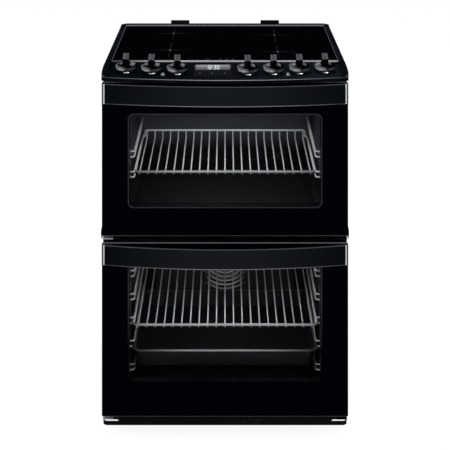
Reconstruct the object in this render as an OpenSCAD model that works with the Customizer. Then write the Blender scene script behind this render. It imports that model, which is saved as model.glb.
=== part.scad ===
// Freestanding range cooker: a glass induction hob, a bowed control panel with
// seven knobs, and two ovens one above the other behind drop-down glass doors.
// X runs to the right, Y to the back and Z up, all in millimetres.
// The origin lies on the floor under the middle of the cooker's outline.

/* [Overall] */
// Width over the control panel
cooker_w = 596; // [580:1:640]
// Depth from the bow of the handles to the rear stand-offs
cooker_d = 600; // [590:1:640]
// Height of the hob glass above the floor
hob_z = 900; // [892:1:930]
// Height of the levelling feet under the base
foot_h = 40; // [30:1:60]
// Sheet thickness of the outer panels and rails
sheet = 1; // [0.8:0.1:1.5]
// Gap left between neighbouring sheets and trims of the body
seam = 0.3; // [0.2:0.05:0.4]

/* [Doors] */
// How far each door side stands in from the control panel's end
door_inset = 1; // [0.5:0.5:4]
// Height of the lower door
lower_door_h = 418.5; // [400:0.5:425]
// Gap between the two doors
door_gap = 17; // [15:0.5:24]
// Gap between the upper door and the control panel
panel_gap = 3.6; // [2:0.1:6]
// Thickness of the outer door glass
outer_glass_t = 4; // [3:0.5:6]
// Depth of the steel frame behind the outer glass
door_frame_d = 23; // [20:0.5:27]
// How far the steel frame stands in from the door's sides
door_frame_inset = 9; // [6:0.5:14]
// Wall of the folded door frame
door_sheet = 1.5; // [1:0.1:2]
// Thickness of the inner door glass
inner_glass_t = 4; // [3:0.5:5]
// Width that the inner glass overlaps the window on each side
inner_glass_lap = 14; // [8:1:18]
// Width of both windows
window_w = 465; // [420:1:470]
// Corner radius of the windows
window_r = 12; // [4:1:18]
// Height of the upper window's lower edge above its door's lower edge
upper_window_low = 69; // [60:1:90]
// Distance of the upper window's upper edge below its door's upper edge
upper_window_high = 78; // [70:1:100]
// Height of the lower window's lower edge above its door's lower edge
lower_window_low = 82; // [72:1:100]
// Distance of the lower window's upper edge below its door's upper edge
lower_window_high = 46; // [40:1:80]

/* [Handles] */
// Height of the handle band
handle_h = 48; // [30:1:60]
// Thickness of the handle band
handle_t = 5; // [3:0.5:7]
// Bow of the handle in front of its ends
handle_bow = 30; // [24:1:36]
// Length of the solid block at each end of a handle
handle_end = 27; // [18:1:40]
// Distance of a handle's upper edge below its door's upper edge
handle_drop = 3.5; // [2:0.5:10]

/* [Hinges] */
// Diameter of the hinge pins
pin_d = 5; // [4:0.1:5.4]
// Radial running clearance around the hinge pins
pin_clear = 0.05; // [0.02:0.01:0.08]
// Distance of the hinge pins behind the front of the outer glass
pin_back = 9; // [8.5:0.1:10]
// Height of the hinge pins above the door's lower edge
pin_rise = 10; // [9:0.5:12]
// Width of the hinge leaf inside each lower corner of a door
leaf_w = 14.8; // [10:0.1:18]
// Height of the hinge leaf
leaf_h = 37; // [30:1:50]
// Thickness of the hinge ear fixed to the body
ear_t = 3; // [2:0.1:3.5]

/* [Control panel] */
// Width of the raised cheek at each end of the panel and hob
cheek_w = 15; // [10:1:22]
// Bow of the panel's front edge
panel_bow = 31; // [20:1:34]
// Distance of the panel's front edge behind the bow of the handles
panel_set = 3; // [1:0.5:8]
// Drop from the hob glass to the underside of the panel's lip
panel_drop = 26.4; // [24:0.2:32]
// Height of the panel's lip
lip_h = 8.4; // [6:0.2:10]
// Distance of the fold in the panel's top behind the knobs' collars
knee_gap = 1.5; // [1:0.5:6]
// Rise of the top in front of that fold
knee_rise = 5; // [2:0.5:7]
// Wall thickness of the panel moulding
panel_t = 3; // [2:0.1:3.4]
// Radius of the rounded front corner of the cheeks
cheek_r = 12; // [6:0.5:12]

/* [Knobs] */
// Room kept beside the left cheek before the left row of knobs is spread evenly
left_cheek_room = 3.5; // [0:0.5:12]
// Room kept beside the display before the left row is spread
left_display_room = 2.5; // [0:0.5:12]
// Room kept beside the display before the right row is spread
right_display_room = 1.5; // [0:0.5:12]
// Room kept beside the right cheek before the right row is spread
right_cheek_room = 1.5; // [0:0.5:12]
// Distance of the knobs behind the panel's front edge
knob_u = 51; // [40:1:54]
// Diameter of a knob's rim
knob_d = 51; // [40:1:54]
// Height of the rim above the panel
rim_z = 16.5; // [13:0.5:20]
// Height of the grip above the panel at its front end
grip_front_z = 30; // [26:0.5:34]
// Height of the grip above the panel at its back end
grip_back_z = 41; // [35:0.5:44]
// Width of the grip
grip_w = 14.5; // [10:0.5:18]
// Diameter of the bright collar under a knob
collar_d = 29; // [24:1:34]
// Height of the collar
collar_h = 4; // [3:0.5:6]
// Diameter of a knob's spindle
spindle_d = 6; // [5:0.1:7]
// Radial running clearance of a spindle in its switch
spindle_clear = 0.05; // [0.02:0.01:0.08]
// Diameter of the pilot lamps
lamp_d = 10.8; // [7:0.2:13]
// Distance of the pilot lamps behind the panel's front edge
lamp_u = 33; // [26:1:40]
// Distance of each lamp from the knob beside it, towards the display
lamp_off = 28.5; // [26:0.5:34]

/* [Display] */
// Width of the display window
display_w = 92; // [80:1:104]
// Place of the display's middle
display_x = -30; // [-34:1:-26]
// Length of the display panel from front to back
display_l = 84; // [74:1:86]
// Distance of the window's back edge in front of the hob glass
display_back = 12; // [8:1:20]
// Thickness of the display window
display_t = 2; // [1:0.1:2.4]
// Distance between the display's buttons
button_pitch = 30; // [20:1:34]
// Diameter of the display's buttons
button_d = 4; // [3:0.1:6]
// Travel of the display's buttons
button_travel = 1.2; // [0.8:0.1:1.4]

/* [Hob] */
// Distance of the glass's front edge behind the panel's front edge
glass_front = 130; // [118:1:140]
// Distance of the glass's back edge in front of the rear stand-offs' back
glass_back = 36; // [28:1:48]
// Thickness of the hob glass
hob_glass_t = 4; // [3:0.5:6]
// Depth that the frame's strips lie below the glass's top
strip_drop = 1; // [0.5:0.1:2]
// Height of the hob frame
hob_frame_h = 33; // [28:1:40]
// Distance of the hob frame's back in front of the stand-offs' back
hob_back = 8; // [6:1:14]

/* [Ovens] */
// Distance of the ovens' side walls in from the body's sides
oven_side = 55; // [52:1:64]
// Distance of the ovens' back walls in front of the body's back
oven_back = 90; // [76:1:120]
// Corner radius of the oven muffles
oven_r = 20; // [12:1:30]
// Sheet thickness of the oven muffles
oven_t = 1.2; // [0.8:0.1:1.6]
// Width of the flange around an oven's mouth
flange_w = 18; // [14:1:22]
// Height of the upper oven's floor above its door's lower edge
upper_oven_low = 46; // [44:1:60]
// Distance of the upper oven's roof below its door's upper edge
upper_oven_high = 70; // [60:1:80]
// Height of the lower oven's floor above its door's lower edge
lower_oven_low = 61.5; // [50:0.5:70]
// Distance of the lower oven's roof below its door's upper edge
lower_oven_high = 42; // [34:1:50]
// Thickness of the pressed door seal
seal_t = 3.7; // [3:0.1:5]
// Width of the door seal
seal_w = 7; // [5:0.5:9]

/* [Racks and tray] */
// Diameter of the runner wires of the side racks
runner_d = 4; // [3:0.1:4.4]
// Distance between the two wires of a runner pair
runner_gap = 13.4; // [13:0.1:15]
// Distance of the runners in from the ovens' side walls
runner_in = 17; // [15:0.5:22]
// Height between the runner pairs of the lower oven
runner_pitch = 57.9; // [54:0.1:58]
// Height of the lowest runner above the lower oven's floor
runner_low = 15; // [12:0.5:20]
// Height of the upper shelf's runner above the upper oven's floor
upper_runner_low = 71.5; // [60:0.5:90]
// Diameter of a shelf's frame wire
shelf_wire_d = 6; // [5:0.1:7]
// Diameter of a shelf's bars
bar_d = 3.4; // [2.5:0.1:4]
// Number of bars in a shelf
bar_count = 21; // [11:1:23]
// Distance of the shelves' raised back bars in front of the ovens' back walls
shelf_back = 49; // [46:1:90]
// Height of the raised bar at the back of a shelf
shelf_lip = 16; // [12:1:24]
// Distance of the upper shelf behind the mouth of its oven
upper_shelf_in = 66; // [30:1:80]
// Distance of the lower shelf behind the mouth of its oven
lower_shelf_in = 19.5; // [14:0.5:40]
// Running gap between a shelf and its runners
slide_gap = 0.3; // [0.2:0.05:0.4]
// Depth of the baking tray
tray_h = 40; // [25:1:42]
// Distance of the baking tray's rim behind the mouth of the oven
tray_in = 13; // [13:1:40]
// Distance of the tray's rim in front of the fan cover
tray_back = 21; // [12:1:60]
// Sheet thickness of the baking tray
tray_t = 1.2; // [1:0.1:2]

/* [Fan] */
// Height of the fan's axis above the lower oven's floor
fan_rise = 155; // [140:1:170]
// Diameter of the fan wheel
fan_d = 150; // [120:1:156]
// Number of fan blades
fan_blades = 12; // [6:1:18]
// Distance of the fan cover in front of the oven's back wall
fan_cover_d = 32; // [28:1:36]
// Diameter of the fan shaft
shaft_d = 6; // [5:0.1:7]
// Diameter of the heating tubes
element_d = 6.5; // [5:0.1:8]

/* [Hidden] */
$fn = 64;
arc_fn = 720;

// Outline
front_y = -cooker_d / 2;
back_y = cooker_d / 2;
door_w = cooker_w - 2 * door_inset;
body_w = door_w;
oven_w = body_w - 2 * oven_side;
glass_y = front_y + handle_bow + handle_t;
frame_y = glass_y + outer_glass_t;
door_back_y = frame_y + door_frame_d;
body_y = door_back_y + seam + seal_t;
standoff_d = 20;
body_back_y = back_y - standoff_d;

// Heights
plinth_h = 19;
plinth_gap = 4.5;
lower_door_z = foot_h + plinth_h + plinth_gap;
lower_door_top = lower_door_z + lower_door_h;
upper_door_z = lower_door_top + door_gap;
panel_z = hob_z - panel_drop;
upper_door_top = panel_z - panel_gap;
hob_frame_z = hob_z - strip_drop - hob_frame_h;
upper_oven_z = upper_door_z + upper_oven_low;
upper_oven_top = upper_door_top - upper_oven_high;
lower_oven_z = lower_door_z + lower_oven_low;
lower_oven_top = lower_door_top - lower_oven_high;
oven_back_y = body_back_y - oven_back;
rail_w = oven_w + 2 * flange_w;

// Body
return_w = 16;
top_return_w = 14;
foot_r = 5;
foot_in_x = 42;
foot_in_front = 79;
foot_in_back = 40;
boss_h = 20;
terminal_in = 127;
terminal_x = body_w / 2 - terminal_in;
terminal_z = 170;

// Control panel: its front edge and its front-to-back profile turn about one
// upright axis, so every place on it is an angle and a distance u from the edge.
panel_y = front_y + panel_set;
panel_r = bow_radius(cooker_w / 2, panel_bow);
panel_cy = panel_y + panel_r;
lip_z = panel_z + lip_h;
knee_u = knob_u + collar_d / 2 + knee_gap;
knee_z = lip_z + knee_rise;
panel_back_z = hob_z - hob_glass_t;
front_tilt = atan(knee_rise / knee_u);
panel_back_y = panel_y + glass_front;
hob_front_y = panel_back_y;
tray_gap = 0.6;
tray_end = 6;
tray_z = panel_z + tray_gap;

// Knobs, in a row of three and a row of four with equal gaps between their rims
display_x0 = display_x - display_w / 2;
display_y1 = panel_back_y - display_back;
left_row = [-cooker_w / 2 + cheek_w + left_cheek_room, display_x0 - left_display_room];
right_row = [display_x0 + display_w + right_display_room, cooker_w / 2 - cheek_w - right_cheek_room];
knob_xs = [for (i = [0:2]) row_place(left_row, 3, i), for (i = [0:3]) row_place(right_row, 4, i)];
lamp_xs = [knob_xs[1] + lamp_off, knob_xs[5] - lamp_off];
knob_lift = 0.5;
stem_end = -8.6;
button_off = -1;
button_xs = [for (i = [-1:1]) display_x + button_off + i * button_pitch];
button_u = knob_u + 1;

// Hob
glass_half_w = cooker_w / 2 - cheek_w - seam;
glass_y1 = back_y - glass_back;
glass_l = glass_y1 - hob_front_y;
glass_z = hob_z - hob_glass_t;
ledge_y0 = hob_front_y + 17;
ledge_y1 = glass_y1 - 9;
ledge_half_w = glass_half_w - 20;
base_z = glass_z - 13;
// Columns of cooking zones: place across, rims' distances from the glass's front
// edge, between the two zones and from the back edge, and by how much the front
// zone's radius is the larger one
zone_columns = [[-142, 31, 39, 13, 2], [136, 24, 47, 34, -13]];
coil_places = [for (c = zone_columns) each [
    [c[0], hob_front_y + c[1] + (zone_room(c) + c[4]) / 2, (zone_room(c) + c[4]) / 2],
    [c[0], glass_y1 - c[3] - (zone_room(c) - c[4]) / 2, (zone_room(c) - c[4]) / 2]]];

// Handles
handle_r = bow_radius(door_w / 2, handle_bow);
handle_cy = front_y + handle_r;

// Hinges
pin_y = glass_y + pin_back;
pin_r = pin_d / 2;
leaf_x = door_w / 2 - door_frame_inset - 21.7;
leaf_gap = 0.4;
ear_x = leaf_x + leaf_w + leaf_gap;

// Fan
fan_z = lower_oven_z + fan_rise;
fan_cover_y = oven_back_y - fan_cover_d;
ring_r = fan_d / 2 + 18;
ring_y = oven_back_y - 15;
ring_gap_a = 18;
ring_leg_d = element_d + 1.5;
tail_l = 12;
ring_leg_x = ring_r * sin(ring_gap_a);
ring_leg_z = fan_z + ring_r * cos(ring_gap_a);
motor_plate_w = 96;
motor_plate_t = 1.5;
motor_neck_d = 30;
motor_neck_l = 14;
motor_w = 72;
motor_h = 58;
motor_l = 26;
motor_cap_d = 34;
motor_cap_l = 8;

// Ovens
seal_in = 4;
wool_t = flange_w - oven_t - 1;
wool_gap = 1.2;
lamp_r = 15;
upper_lamp = [oven_w / 2 - 46, upper_oven_top - 62];
lower_lamp = [oven_w / 2 - 29, lower_oven_top - 34];
grill_x = oven_w / 2 - 77;
grill_z = upper_oven_top - 15;

// Racks, from the lowest runner up
runner_x = oven_w / 2 - runner_in;
upright_d = 5;
upright_gap = 0.5;
upright_end = 3;
rack_x = tenth(oven_w / 2 - corner_in(runner_low - upright_end) - upright_d / 2 - upright_gap);
rack_front_y = body_y + 44;
rack_back_y = oven_back_y - 40;
upper_runner_pitch = 50;
lower_runner_zs = [for (i = [0:4]) lower_oven_z + runner_low + i * runner_pitch];
upper_runner_zs = [for (i = [0:1]) upper_oven_z + upper_runner_low + i * upper_runner_pitch];
shelf_rest = (runner_d + shelf_wire_d) / 2 + slide_gap;
shelf_half_w = runner_x + 1;
shelf_back_y = oven_back_y - shelf_back;
tray_rim_z = lower_runner_zs[1] + runner_d / 2 + slide_gap;
tray_y0 = body_y + tray_in;
tray_l = fan_cover_y - tray_back - tray_y0;

// Windows
upper_window = [upper_door_z + upper_window_low, upper_door_top - upper_window_high];
lower_window = [lower_door_z + lower_window_low, lower_door_top - lower_window_high];

function bow_radius(half_chord, bow) = (half_chord * half_chord + bow * bow) / (2 * bow);
// Gap between the rims of n knobs spread over a row, and the middle of knob i
function row_gap(row, n) = (row[1] - row[0] - n * knob_d) / (n + 1);
function row_place(row, n, i) = row[0] + row_gap(row, n) + knob_d / 2 + i * (row_gap(row, n) + knob_d);
// Sum of the radii of a column's two zones
function zone_room(c) = (glass_l - c[1] - c[2] - c[3]) / 2;
// Nearest tenth of a millimetre
function tenth(v) = round(10 * v) / 10;
// How far a muffle's rounded corner reaches in at the height h above the floor
function corner_in(h) = h < oven_r ? oven_r - sqrt(oven_r * oven_r - (oven_r - h) * (oven_r - h)) : 0;
// Height of the panel's top at the distance u behind its front edge
function panel_top(u) = u < knee_u
    ? lip_z + u * knee_rise / knee_u
    : knee_z + (u - knee_u) * (panel_back_z - knee_z) / (glass_front - knee_u);

// ---------- Shared shapes ----------

// Rectangle about the origin with true arcs for corners
module rounded_rect(w, h, r) {
    square([w - 2 * r, h], center = true);
    square([w, h - 2 * r], center = true);
    for (x = [-1, 1], y = [-1, 1])
        translate([x * (w / 2 - r), y * (h / 2 - r)]) circle(r = r);
}

// Upright slab seen from the front as a rounded rectangle, from y0 back to y1
module slab(w, z0, z1, y0, y1, r) {
    translate([0, y1, (z0 + z1) / 2]) rotate([90, 0, 0])
        linear_extrude(y1 - y0) rounded_rect(w, z1 - z0, r);
}

// Box between two corners
module block(a, b) {
    translate(a) cube(b - a);
}

// Outline in Y and Z carried along X, from x0 to x1
module side_profile(x0, x1) {
    translate([x0, 0, 0]) rotate([90, 0, 90]) linear_extrude(x1 - x0) children();
}

// A child and its mirror image across the middle
module both_sides() {
    children();
    mirror([1, 0, 0]) children();
}

// Round rod between two points
module rod(a, b, d) {
    v = b - a;
    translate(a) rotate([0, acos(v.z / norm(v)), atan2(v.y, v.x)]) cylinder(d = d, h = norm(v));
}

// Quarter bend of a wire, from +X round to +Y about the origin
module elbow(r, d) {
    rotate_extrude(angle = 90) translate([r, 0]) circle(d = d);
}

// Places a child on the panel's sloping top, x from the middle and u from the edge,
// with the child's Z square to the top and its Y straight to the back
module on_panel(x, u) {
    turn = asin(x / (panel_r - u));
    translate([0, panel_cy, 0]) rotate([0, 0, turn]) translate([0, u - panel_r, panel_top(u)])
        rotate([front_tilt, 0, 0]) rotate([0, 0, -turn]) children();
}

// Upright ring sector about the bow's axis at cy, whose section is the child
module bowed(cy) {
    translate([0, cy, 0]) rotate([0, 0, -105]) rotate_extrude(angle = 30, $fn = arc_fn) children();
}

// Layer of the panel's top between two depths under its surface
module panel_layer(top, bottom) {
    us = [0, knee_u, glass_front + 1];
    bowed(panel_cy) polygon(concat([for (u = us) [panel_r - u, panel_top(u) - top]],
        [for (i = [2:-1:0]) [panel_r - us[i], panel_top(us[i]) - bottom]]));
}

// ---------- Body ----------

module side_panel() {
    x1 = body_w / 2;
    color("#17181a") {
        block([x1 - sheet, body_y, foot_h], [x1, body_back_y, hob_frame_z]);
        block([rail_w / 2 + seam, body_y, foot_h], [x1, body_y + sheet, hob_frame_z]);
        block([x1 - return_w, body_back_y - sheet, foot_h], [x1, body_back_y, hob_frame_z]);
        block([x1 - top_return_w, body_y, hob_frame_z - sheet], [x1, body_back_y, hob_frame_z]);
    }
}

module side_panel_left() {
    mirror([1, 0, 0]) side_panel();
}

module side_panel_right() {
    side_panel();
}

// Sheet with two pressed ribs, rows of vents near its top and a way for the cable
module back_panel() {
    w = body_w - 2 * (return_w + seam);
    corner = 3;
    top_gap = 8;
    rib_w = 20;
    rib_d = 3;
    rib_in = 60;
    vent_w = 60;
    vent_h = 4;
    vent_pitch_x = 78;
    vent_pitch_z = 12;
    vent_rows = 8;
    vent_drop = 90;
    cable_hole_d = 32;
    color("#b9bcbe") difference() {
        union() {
            slab(w, foot_h + sheet + seam, hob_frame_z - top_gap, body_back_y - sheet, body_back_y, corner);
            for (x = [rib_in - w / 2, w / 2 - rib_in])
                block([x - rib_w / 2, body_back_y - rib_d - sheet, foot_h + rib_in],
                    [x + rib_w / 2, body_back_y - sheet, hob_frame_z - rib_in]);
        }
        for (row = [0:vent_rows - 1], i = [-1.5:1:1.5])
            translate([i * vent_pitch_x, body_back_y - sheet / 2,
                hob_frame_z - vent_drop - row * vent_pitch_z])
                cube([vent_w, 3 * sheet, vent_h], center = true);
        y_rod(terminal_x, terminal_z, body_back_y - 2 * sheet, body_back_y + sheet, cable_hole_d);
    }
}

module base_pan() {
    w = body_w - 2 * (sheet + seam);
    rim = 26;
    rim_in = 4;
    boss_r = 12;
    color("#8c9092") difference() {
        union() {
            block([-w / 2, body_y + sheet + seam, foot_h],
                [w / 2, body_back_y - 2 * sheet, foot_h + sheet]);
            block([-rail_w / 2, body_y, foot_h], [rail_w / 2, body_y + 2 * sheet, foot_h + sheet]);
            block([-rail_w / 2, body_y, foot_h],
                [rail_w / 2, body_y + sheet, lower_oven_z - flange_w - seam]);
            for (x = [-w / 2, w / 2 - sheet])
                block([x, body_y + rim_in, foot_h], [x + sheet, body_back_y - rim_in, foot_h + rim]);
            for (i = [1:4]) translate(foot_place(i)) cylinder(r = boss_r, h = boss_h);
        }
        for (i = [1:4]) translate(foot_place(i) - [0, 0, 1])
            cylinder(r = foot_r + spindle_clear, h = boss_h + 2);
    }
}

// Where foot i's spindle enters the base: 1 and 2 at the front, odd ones at the left
function foot_place(i) = [(i % 2 == 1 ? -1 : 1) * (body_w / 2 - foot_in_x),
    i < 3 ? body_y + foot_in_front : body_back_y - foot_in_back, foot_h];

// Pad, spindle, turning nut on the pad and lock nut under the base
module levelling_foot(i) {
    p = foot_place(i);
    pad_r = 15;
    pad_t = 8;
    edge = 2;
    nut_r = 11;
    nut_t = 5;
    lock_r = 9.5;
    lock_t = 8;
    spare = 15;
    color("#26282a") translate([p.x, p.y, 0]) {
        cylinder(r1 = pad_r - 1, r2 = pad_r, h = edge);
        translate([0, 0, edge]) cylinder(r = pad_r, h = pad_t - edge);
        translate([0, 0, pad_t]) cylinder(r = foot_r, h = foot_h + boss_h + spare - pad_t);
        translate([0, 0, pad_t]) cylinder(r = nut_r, h = nut_t, $fn = 6);
        translate([0, 0, foot_h - seam - lock_t]) cylinder(r = lock_r, h = lock_t, $fn = 6);
    }
}

module plinth() {
    w = body_w - 4;
    y0 = glass_y + 5;
    l = 2 * (body_y - y0);
    t = 1.5;
    r = 12;
    end_w = 38;
    end_drop = 9;
    color("#0c0d0f") difference() {
        translate([0, 0, foot_h]) linear_extrude(plinth_h) intersection() {
            difference() {
                translate([0, y0 + l / 2]) rounded_rect(w, l, r);
                translate([0, y0 + l / 2]) rounded_rect(w - 2 * t, l - 2 * t, r - t);
            }
            translate([-w / 2, y0]) square([w, body_y - seam - y0]);
        }
        both_sides() block([w / 2 - end_w, y0 - 1, foot_h + plinth_h - end_drop],
            [w / 2 + 1, body_y, foot_h + plinth_h + 1]);
    }
}

module top_rail() {
    z0 = upper_oven_top + flange_w + seam;
    color("#3a3d40") {
        block([-rail_w / 2, body_y, z0], [rail_w / 2, body_y + sheet, tray_z + sheet]);
        translate([0, 0, tray_z]) linear_extrude(sheet) intersection() {
            translate([0, panel_cy]) circle(r = panel_r - panel_t - seam, $fn = arc_fn);
            translate([-cooker_w / 2 + cheek_w + seam, panel_y])
                square([cooker_w - 2 * (cheek_w + seam), glass_front - tray_end]);
        }
    }
}

module mid_rail() {
    z0 = lower_oven_top + flange_w + seam;
    z1 = upper_oven_z - flange_w - seam;
    depth = 26;
    ear_r = 58;
    ear_out = 2.7;
    ear_half = 15.5;
    ear_back = 30;
    ear_zc = upper_door_z + 5.5;
    color("#121315") {
        difference() {
            block([-rail_w / 2, body_y, z0], [rail_w / 2, body_y + depth, z1]);
            block([-rail_w, body_y + sheet, z0 + sheet], [rail_w, body_y + depth + 1, z1 - sheet]);
        }
        both_sides() intersection() {
            translate([body_w / 2 + ear_out - ear_r, body_back_y, ear_zc]) rotate([90, 0, 0])
                cylinder(r = ear_r, h = 2 * cooker_d, $fn = 256);
            block([body_w / 2 + seam, frame_y, ear_zc - ear_half],
                [cooker_w, body_y + ear_back, ear_zc + ear_half]);
        }
    }
}

module rear_standoffs() {
    w = 53;
    inset = 169;
    x0 = cooker_w / 2 - inset;
    rise = 11;
    edge = 2;
    lap = hob_back - seam;
    drop = 46;
    shoulder = 12;
    slot_w = 9;
    slot_h = 18;
    slot_in = 5;
    slot_rise = 8;
    foot_z = hob_frame_z - drop;
    color("#1b1c1e") both_sides() side_profile(x0 - w / 2, x0 + w / 2) difference() {
        polygon([[back_y - lap, hob_z + rise], [back_y - edge, hob_z + rise],
            [back_y, hob_z + rise - edge], [back_y, foot_z], [body_back_y, foot_z],
            [body_back_y, hob_frame_z - shoulder], [back_y - lap, hob_frame_z - edge]]);
        translate([back_y - slot_in - slot_w, foot_z + slot_rise]) square([slot_w, slot_h]);
    }
}

module terminal_box() {
    w = 100;
    h = 100;
    x0 = terminal_x - w / 2;
    z0 = terminal_z - h / 2;
    set_back = 3;
    d = standoff_d - set_back;
    t = 2;
    gland_r = 8;
    gland_bore_r = 5.5;
    gland_l = 16;
    color("#202224") difference() {
        union() {
            block([x0, body_back_y, z0], [x0 + w, body_back_y + d, z0 + h]);
            translate([terminal_x, body_back_y + d / 2, z0 - gland_l])
                cylinder(r = gland_r, h = gland_l + 1);
        }
        block([x0 + t, body_back_y - 1, z0 + t], [x0 + w - t, body_back_y + d - t, z0 + h - t]);
        translate([terminal_x, body_back_y + d / 2, z0 - gland_l - 1])
            cylinder(r = gland_bore_r, h = gland_l + 2 * t);
    }
}

// ---------- Hob ----------

module hob_frame() {
    t = 1.2;
    r = 14;
    y0 = hob_front_y + seam;
    l = back_y - hob_back - y0;
    color("#1c1d20") difference() {
        translate([0, y0, hob_frame_z]) linear_extrude(hob_frame_h) rear_rounded(cooker_w / 2, l, r);
        translate([0, y0 + t, hob_frame_z - 1]) linear_extrude(glass_z - t - hob_frame_z + 1)
            rear_rounded(cooker_w / 2 - t, l - 2 * t, r - t);
        block([-glass_half_w - seam, hob_front_y - 1, glass_z],
            [glass_half_w + seam, glass_y1 + seam, hob_z]);
        block([-ledge_half_w, ledge_y0, glass_z - 5], [ledge_half_w, ledge_y1, hob_z]);
    }
}

// Plan from y = 0 back to y = l, half width w, with rounded back corners
module rear_rounded(w, l, r) {
    translate([-w, 0]) square([2 * w, l - r]);
    translate([r - w, 0]) square([2 * (w - r), l]);
    for (x = [-1, 1]) translate([x * (w - r), l - r]) circle(r = r);
}

module hob_glass() {
    bevel = 0.8;
    r = 4;
    color("#050608") difference() {
        translate([0, hob_front_y, glass_z]) linear_extrude(hob_glass_t)
            rear_rounded(glass_half_w, glass_l, r);
        side_profile(-cooker_w, cooker_w)
            polygon([[hob_front_y - 1, hob_z - bevel], [hob_front_y + bevel + 0.2, hob_z + 0.2],
                [hob_front_y - 1, hob_z + 1]]);
    }
}

module hob_base() {
    clear = 2;
    w = ledge_half_w - clear;
    y0 = ledge_y0 + clear;
    y1 = ledge_y1 - clear;
    t = 1;
    hang = 1.5;
    rim_x = 14;
    rim_front = 10;
    rim_back = 8;
    color("#a8abad") difference() {
        union() {
            block([-w, y0, base_z], [w, y1, glass_z - hang]);
            block([-w - rim_x, y0 - rim_front, glass_z - hang - t],
                [w + rim_x, y1 + rim_back, glass_z - hang]);
        }
        block([-w + t, y0 + t, base_z + t], [w - t, y1 - t, glass_z]);
    }
}

// Flat winding under each zone, on eight ferrite bars that rest in the hob's base
module induction_coils() {
    coil_t = 5;
    eye_r = 24;
    bar_w = 12;
    z1 = glass_z - seam;
    for (c = coil_places) translate([c[0], c[1], 0]) color("#b0622e") {
        translate([0, 0, z1 - coil_t]) difference() {
            cylinder(r = c[2], h = coil_t);
            translate([0, 0, -1]) cylinder(r = eye_r, h = coil_t + 2);
        }
        for (a = [0:45:315]) rotate([0, 0, a])
            block([eye_r - 4, -bar_w / 2, base_z + 1], [c[2] - 6, bar_w / 2, z1 - coil_t + 0.5]);
    }
}

// Housing of the hob's electronics, with vents at its back and a fan's inlet below
module power_unit() {
    set_in = 62.7;
    set_back = 97;
    back_gap = 74;
    x = ledge_half_w - set_in;
    y0 = hob_front_y + set_back;
    y1 = glass_y1 - back_gap;
    h = 42;
    t = 1.5;
    inlet_r = 38;
    vents = 10;
    vent_w = 18;
    vent_in = 30;
    pitch = (2 * (x - vent_in) - vent_w) / (vents - 1);
    z1 = base_z - seam;
    color("#9da1a4") difference() {
        block([-x, y0, z1 - h], [x, y1, z1]);
        block([-x + t, y0 + t, z1 - h + t], [x - t, y1 - t, z1 - t]);
        for (i = [0:vents - 1]) translate([-x + vent_in + i * pitch, 0, 0])
            block([0, y1 - 2 * t, z1 - h + 10], [vent_w, y1 + 1, z1 - 10]);
        translate([0, (y0 + y1) / 2, z1 - h - 1]) cylinder(r = inlet_r, h = t + 2);
    }
}

// ---------- Control panel ----------

module control_panel() {
    x1 = cooker_w / 2;
    end_y = panel_cy - sqrt(panel_r * panel_r - x1 * x1);
    strip_z = hob_z - strip_drop;
    shell_y = panel_back_y - seam;
    cheek_slope_l = 48;
    cheek_slope_h = 3.5;
    round_z = strip_z - cheek_slope_h - cheek_r;
    color("#111317") difference() {
        union() {
            intersection() {
                union() {
                    panel_layer(0, panel_t);
                    bowed(panel_cy) translate([panel_r - panel_t, panel_z]) square([panel_t, lip_h]);
                }
                block([-x1, panel_y - 1, panel_z - 1], [x1, shell_y, hob_z]);
            }
            both_sides() side_profile(x1 - cheek_w, x1) {
                polygon([[shell_y, hob_frame_z + seam], [shell_y, strip_z], [end_y + cheek_slope_l, strip_z],
                    [end_y + cheek_r - 1, round_z + cheek_r], [end_y, round_z], [end_y, panel_z],
                    [body_y, panel_z], [body_y, hob_frame_z + seam]]);
                translate([end_y + cheek_r, round_z]) circle(r = cheek_r);
            }
        }
        for (x = knob_xs) on_panel(x, knob_u) translate([0, 0, -10]) cylinder(d = spindle_d + 3, h = 20);
        for (x = lamp_xs) on_panel(x, lamp_u) translate([0, 0, -10]) cylinder(d = lamp_d - 1.4, h = 20);
        block([display_x0 - seam, display_y1 - display_l - seam, panel_z],
            [display_x0 + display_w + seam, display_y1 + seam, hob_z]);
    }
}

module display_window() {
    color("#1d2024") difference() {
        intersection() {
            panel_layer(0, display_t);
            block([display_x0, display_y1 - display_l, panel_z],
                [display_x0 + display_w, display_y1, hob_z]);
        }
        for (x = button_xs) on_panel(x, button_u) translate([0, 0, -10])
            cylinder(d = button_d + 2 * seam, h = 20);
    }
}

module clock_module() {
    color("#1f4a33") difference() {
        block([display_x0 + 6, display_y1 - display_l + 4, tray_z + sheet],
            [display_x0 + display_w - 6, display_y1 - 4, knee_z - knee_rise - display_t + 0.6]);
        for (x = button_xs) on_panel(x, button_u) translate([0, 0, -display_t - 4.5])
            cylinder(d = button_d + 3.2, h = 20);
    }
}

module display_button(i) {
    color("#08090b") on_panel(button_xs[i - 1], button_u) {
        translate([0, 0, -display_t - 3]) cylinder(d = button_d, h = display_t + 4);
        translate([0, 0, -display_t - 3]) cylinder(d = button_d + 2.4, h = 2.4);
    }
}

module rotary_switches() {
    color("#2b2d30") for (x = knob_xs) on_panel(x, knob_u) difference() {
        union() {
            translate([0, 0, stem_end - 0.6]) cylinder(r = 8, h = 4);
            translate([0, 0, stem_end + 3]) cylinder(r = 5.5, h = 2.2);
        }
        translate([0, 0, stem_end - 1]) cylinder(r = spindle_d / 2 + spindle_clear, h = 9);
    }
}

module knob_collars() {
    r = collar_d / 2;
    color("#d8dadc") for (x = knob_xs) on_panel(x, knob_u) rotate_extrude()
        polygon([[spindle_d / 2 + 1.5, 0.05], [r, 0.05], [r, 1.2], [r - 0.5, 2.4], [r - 1.6, collar_h],
            [spindle_d / 2 + 1.5, collar_h]]);
}

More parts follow.
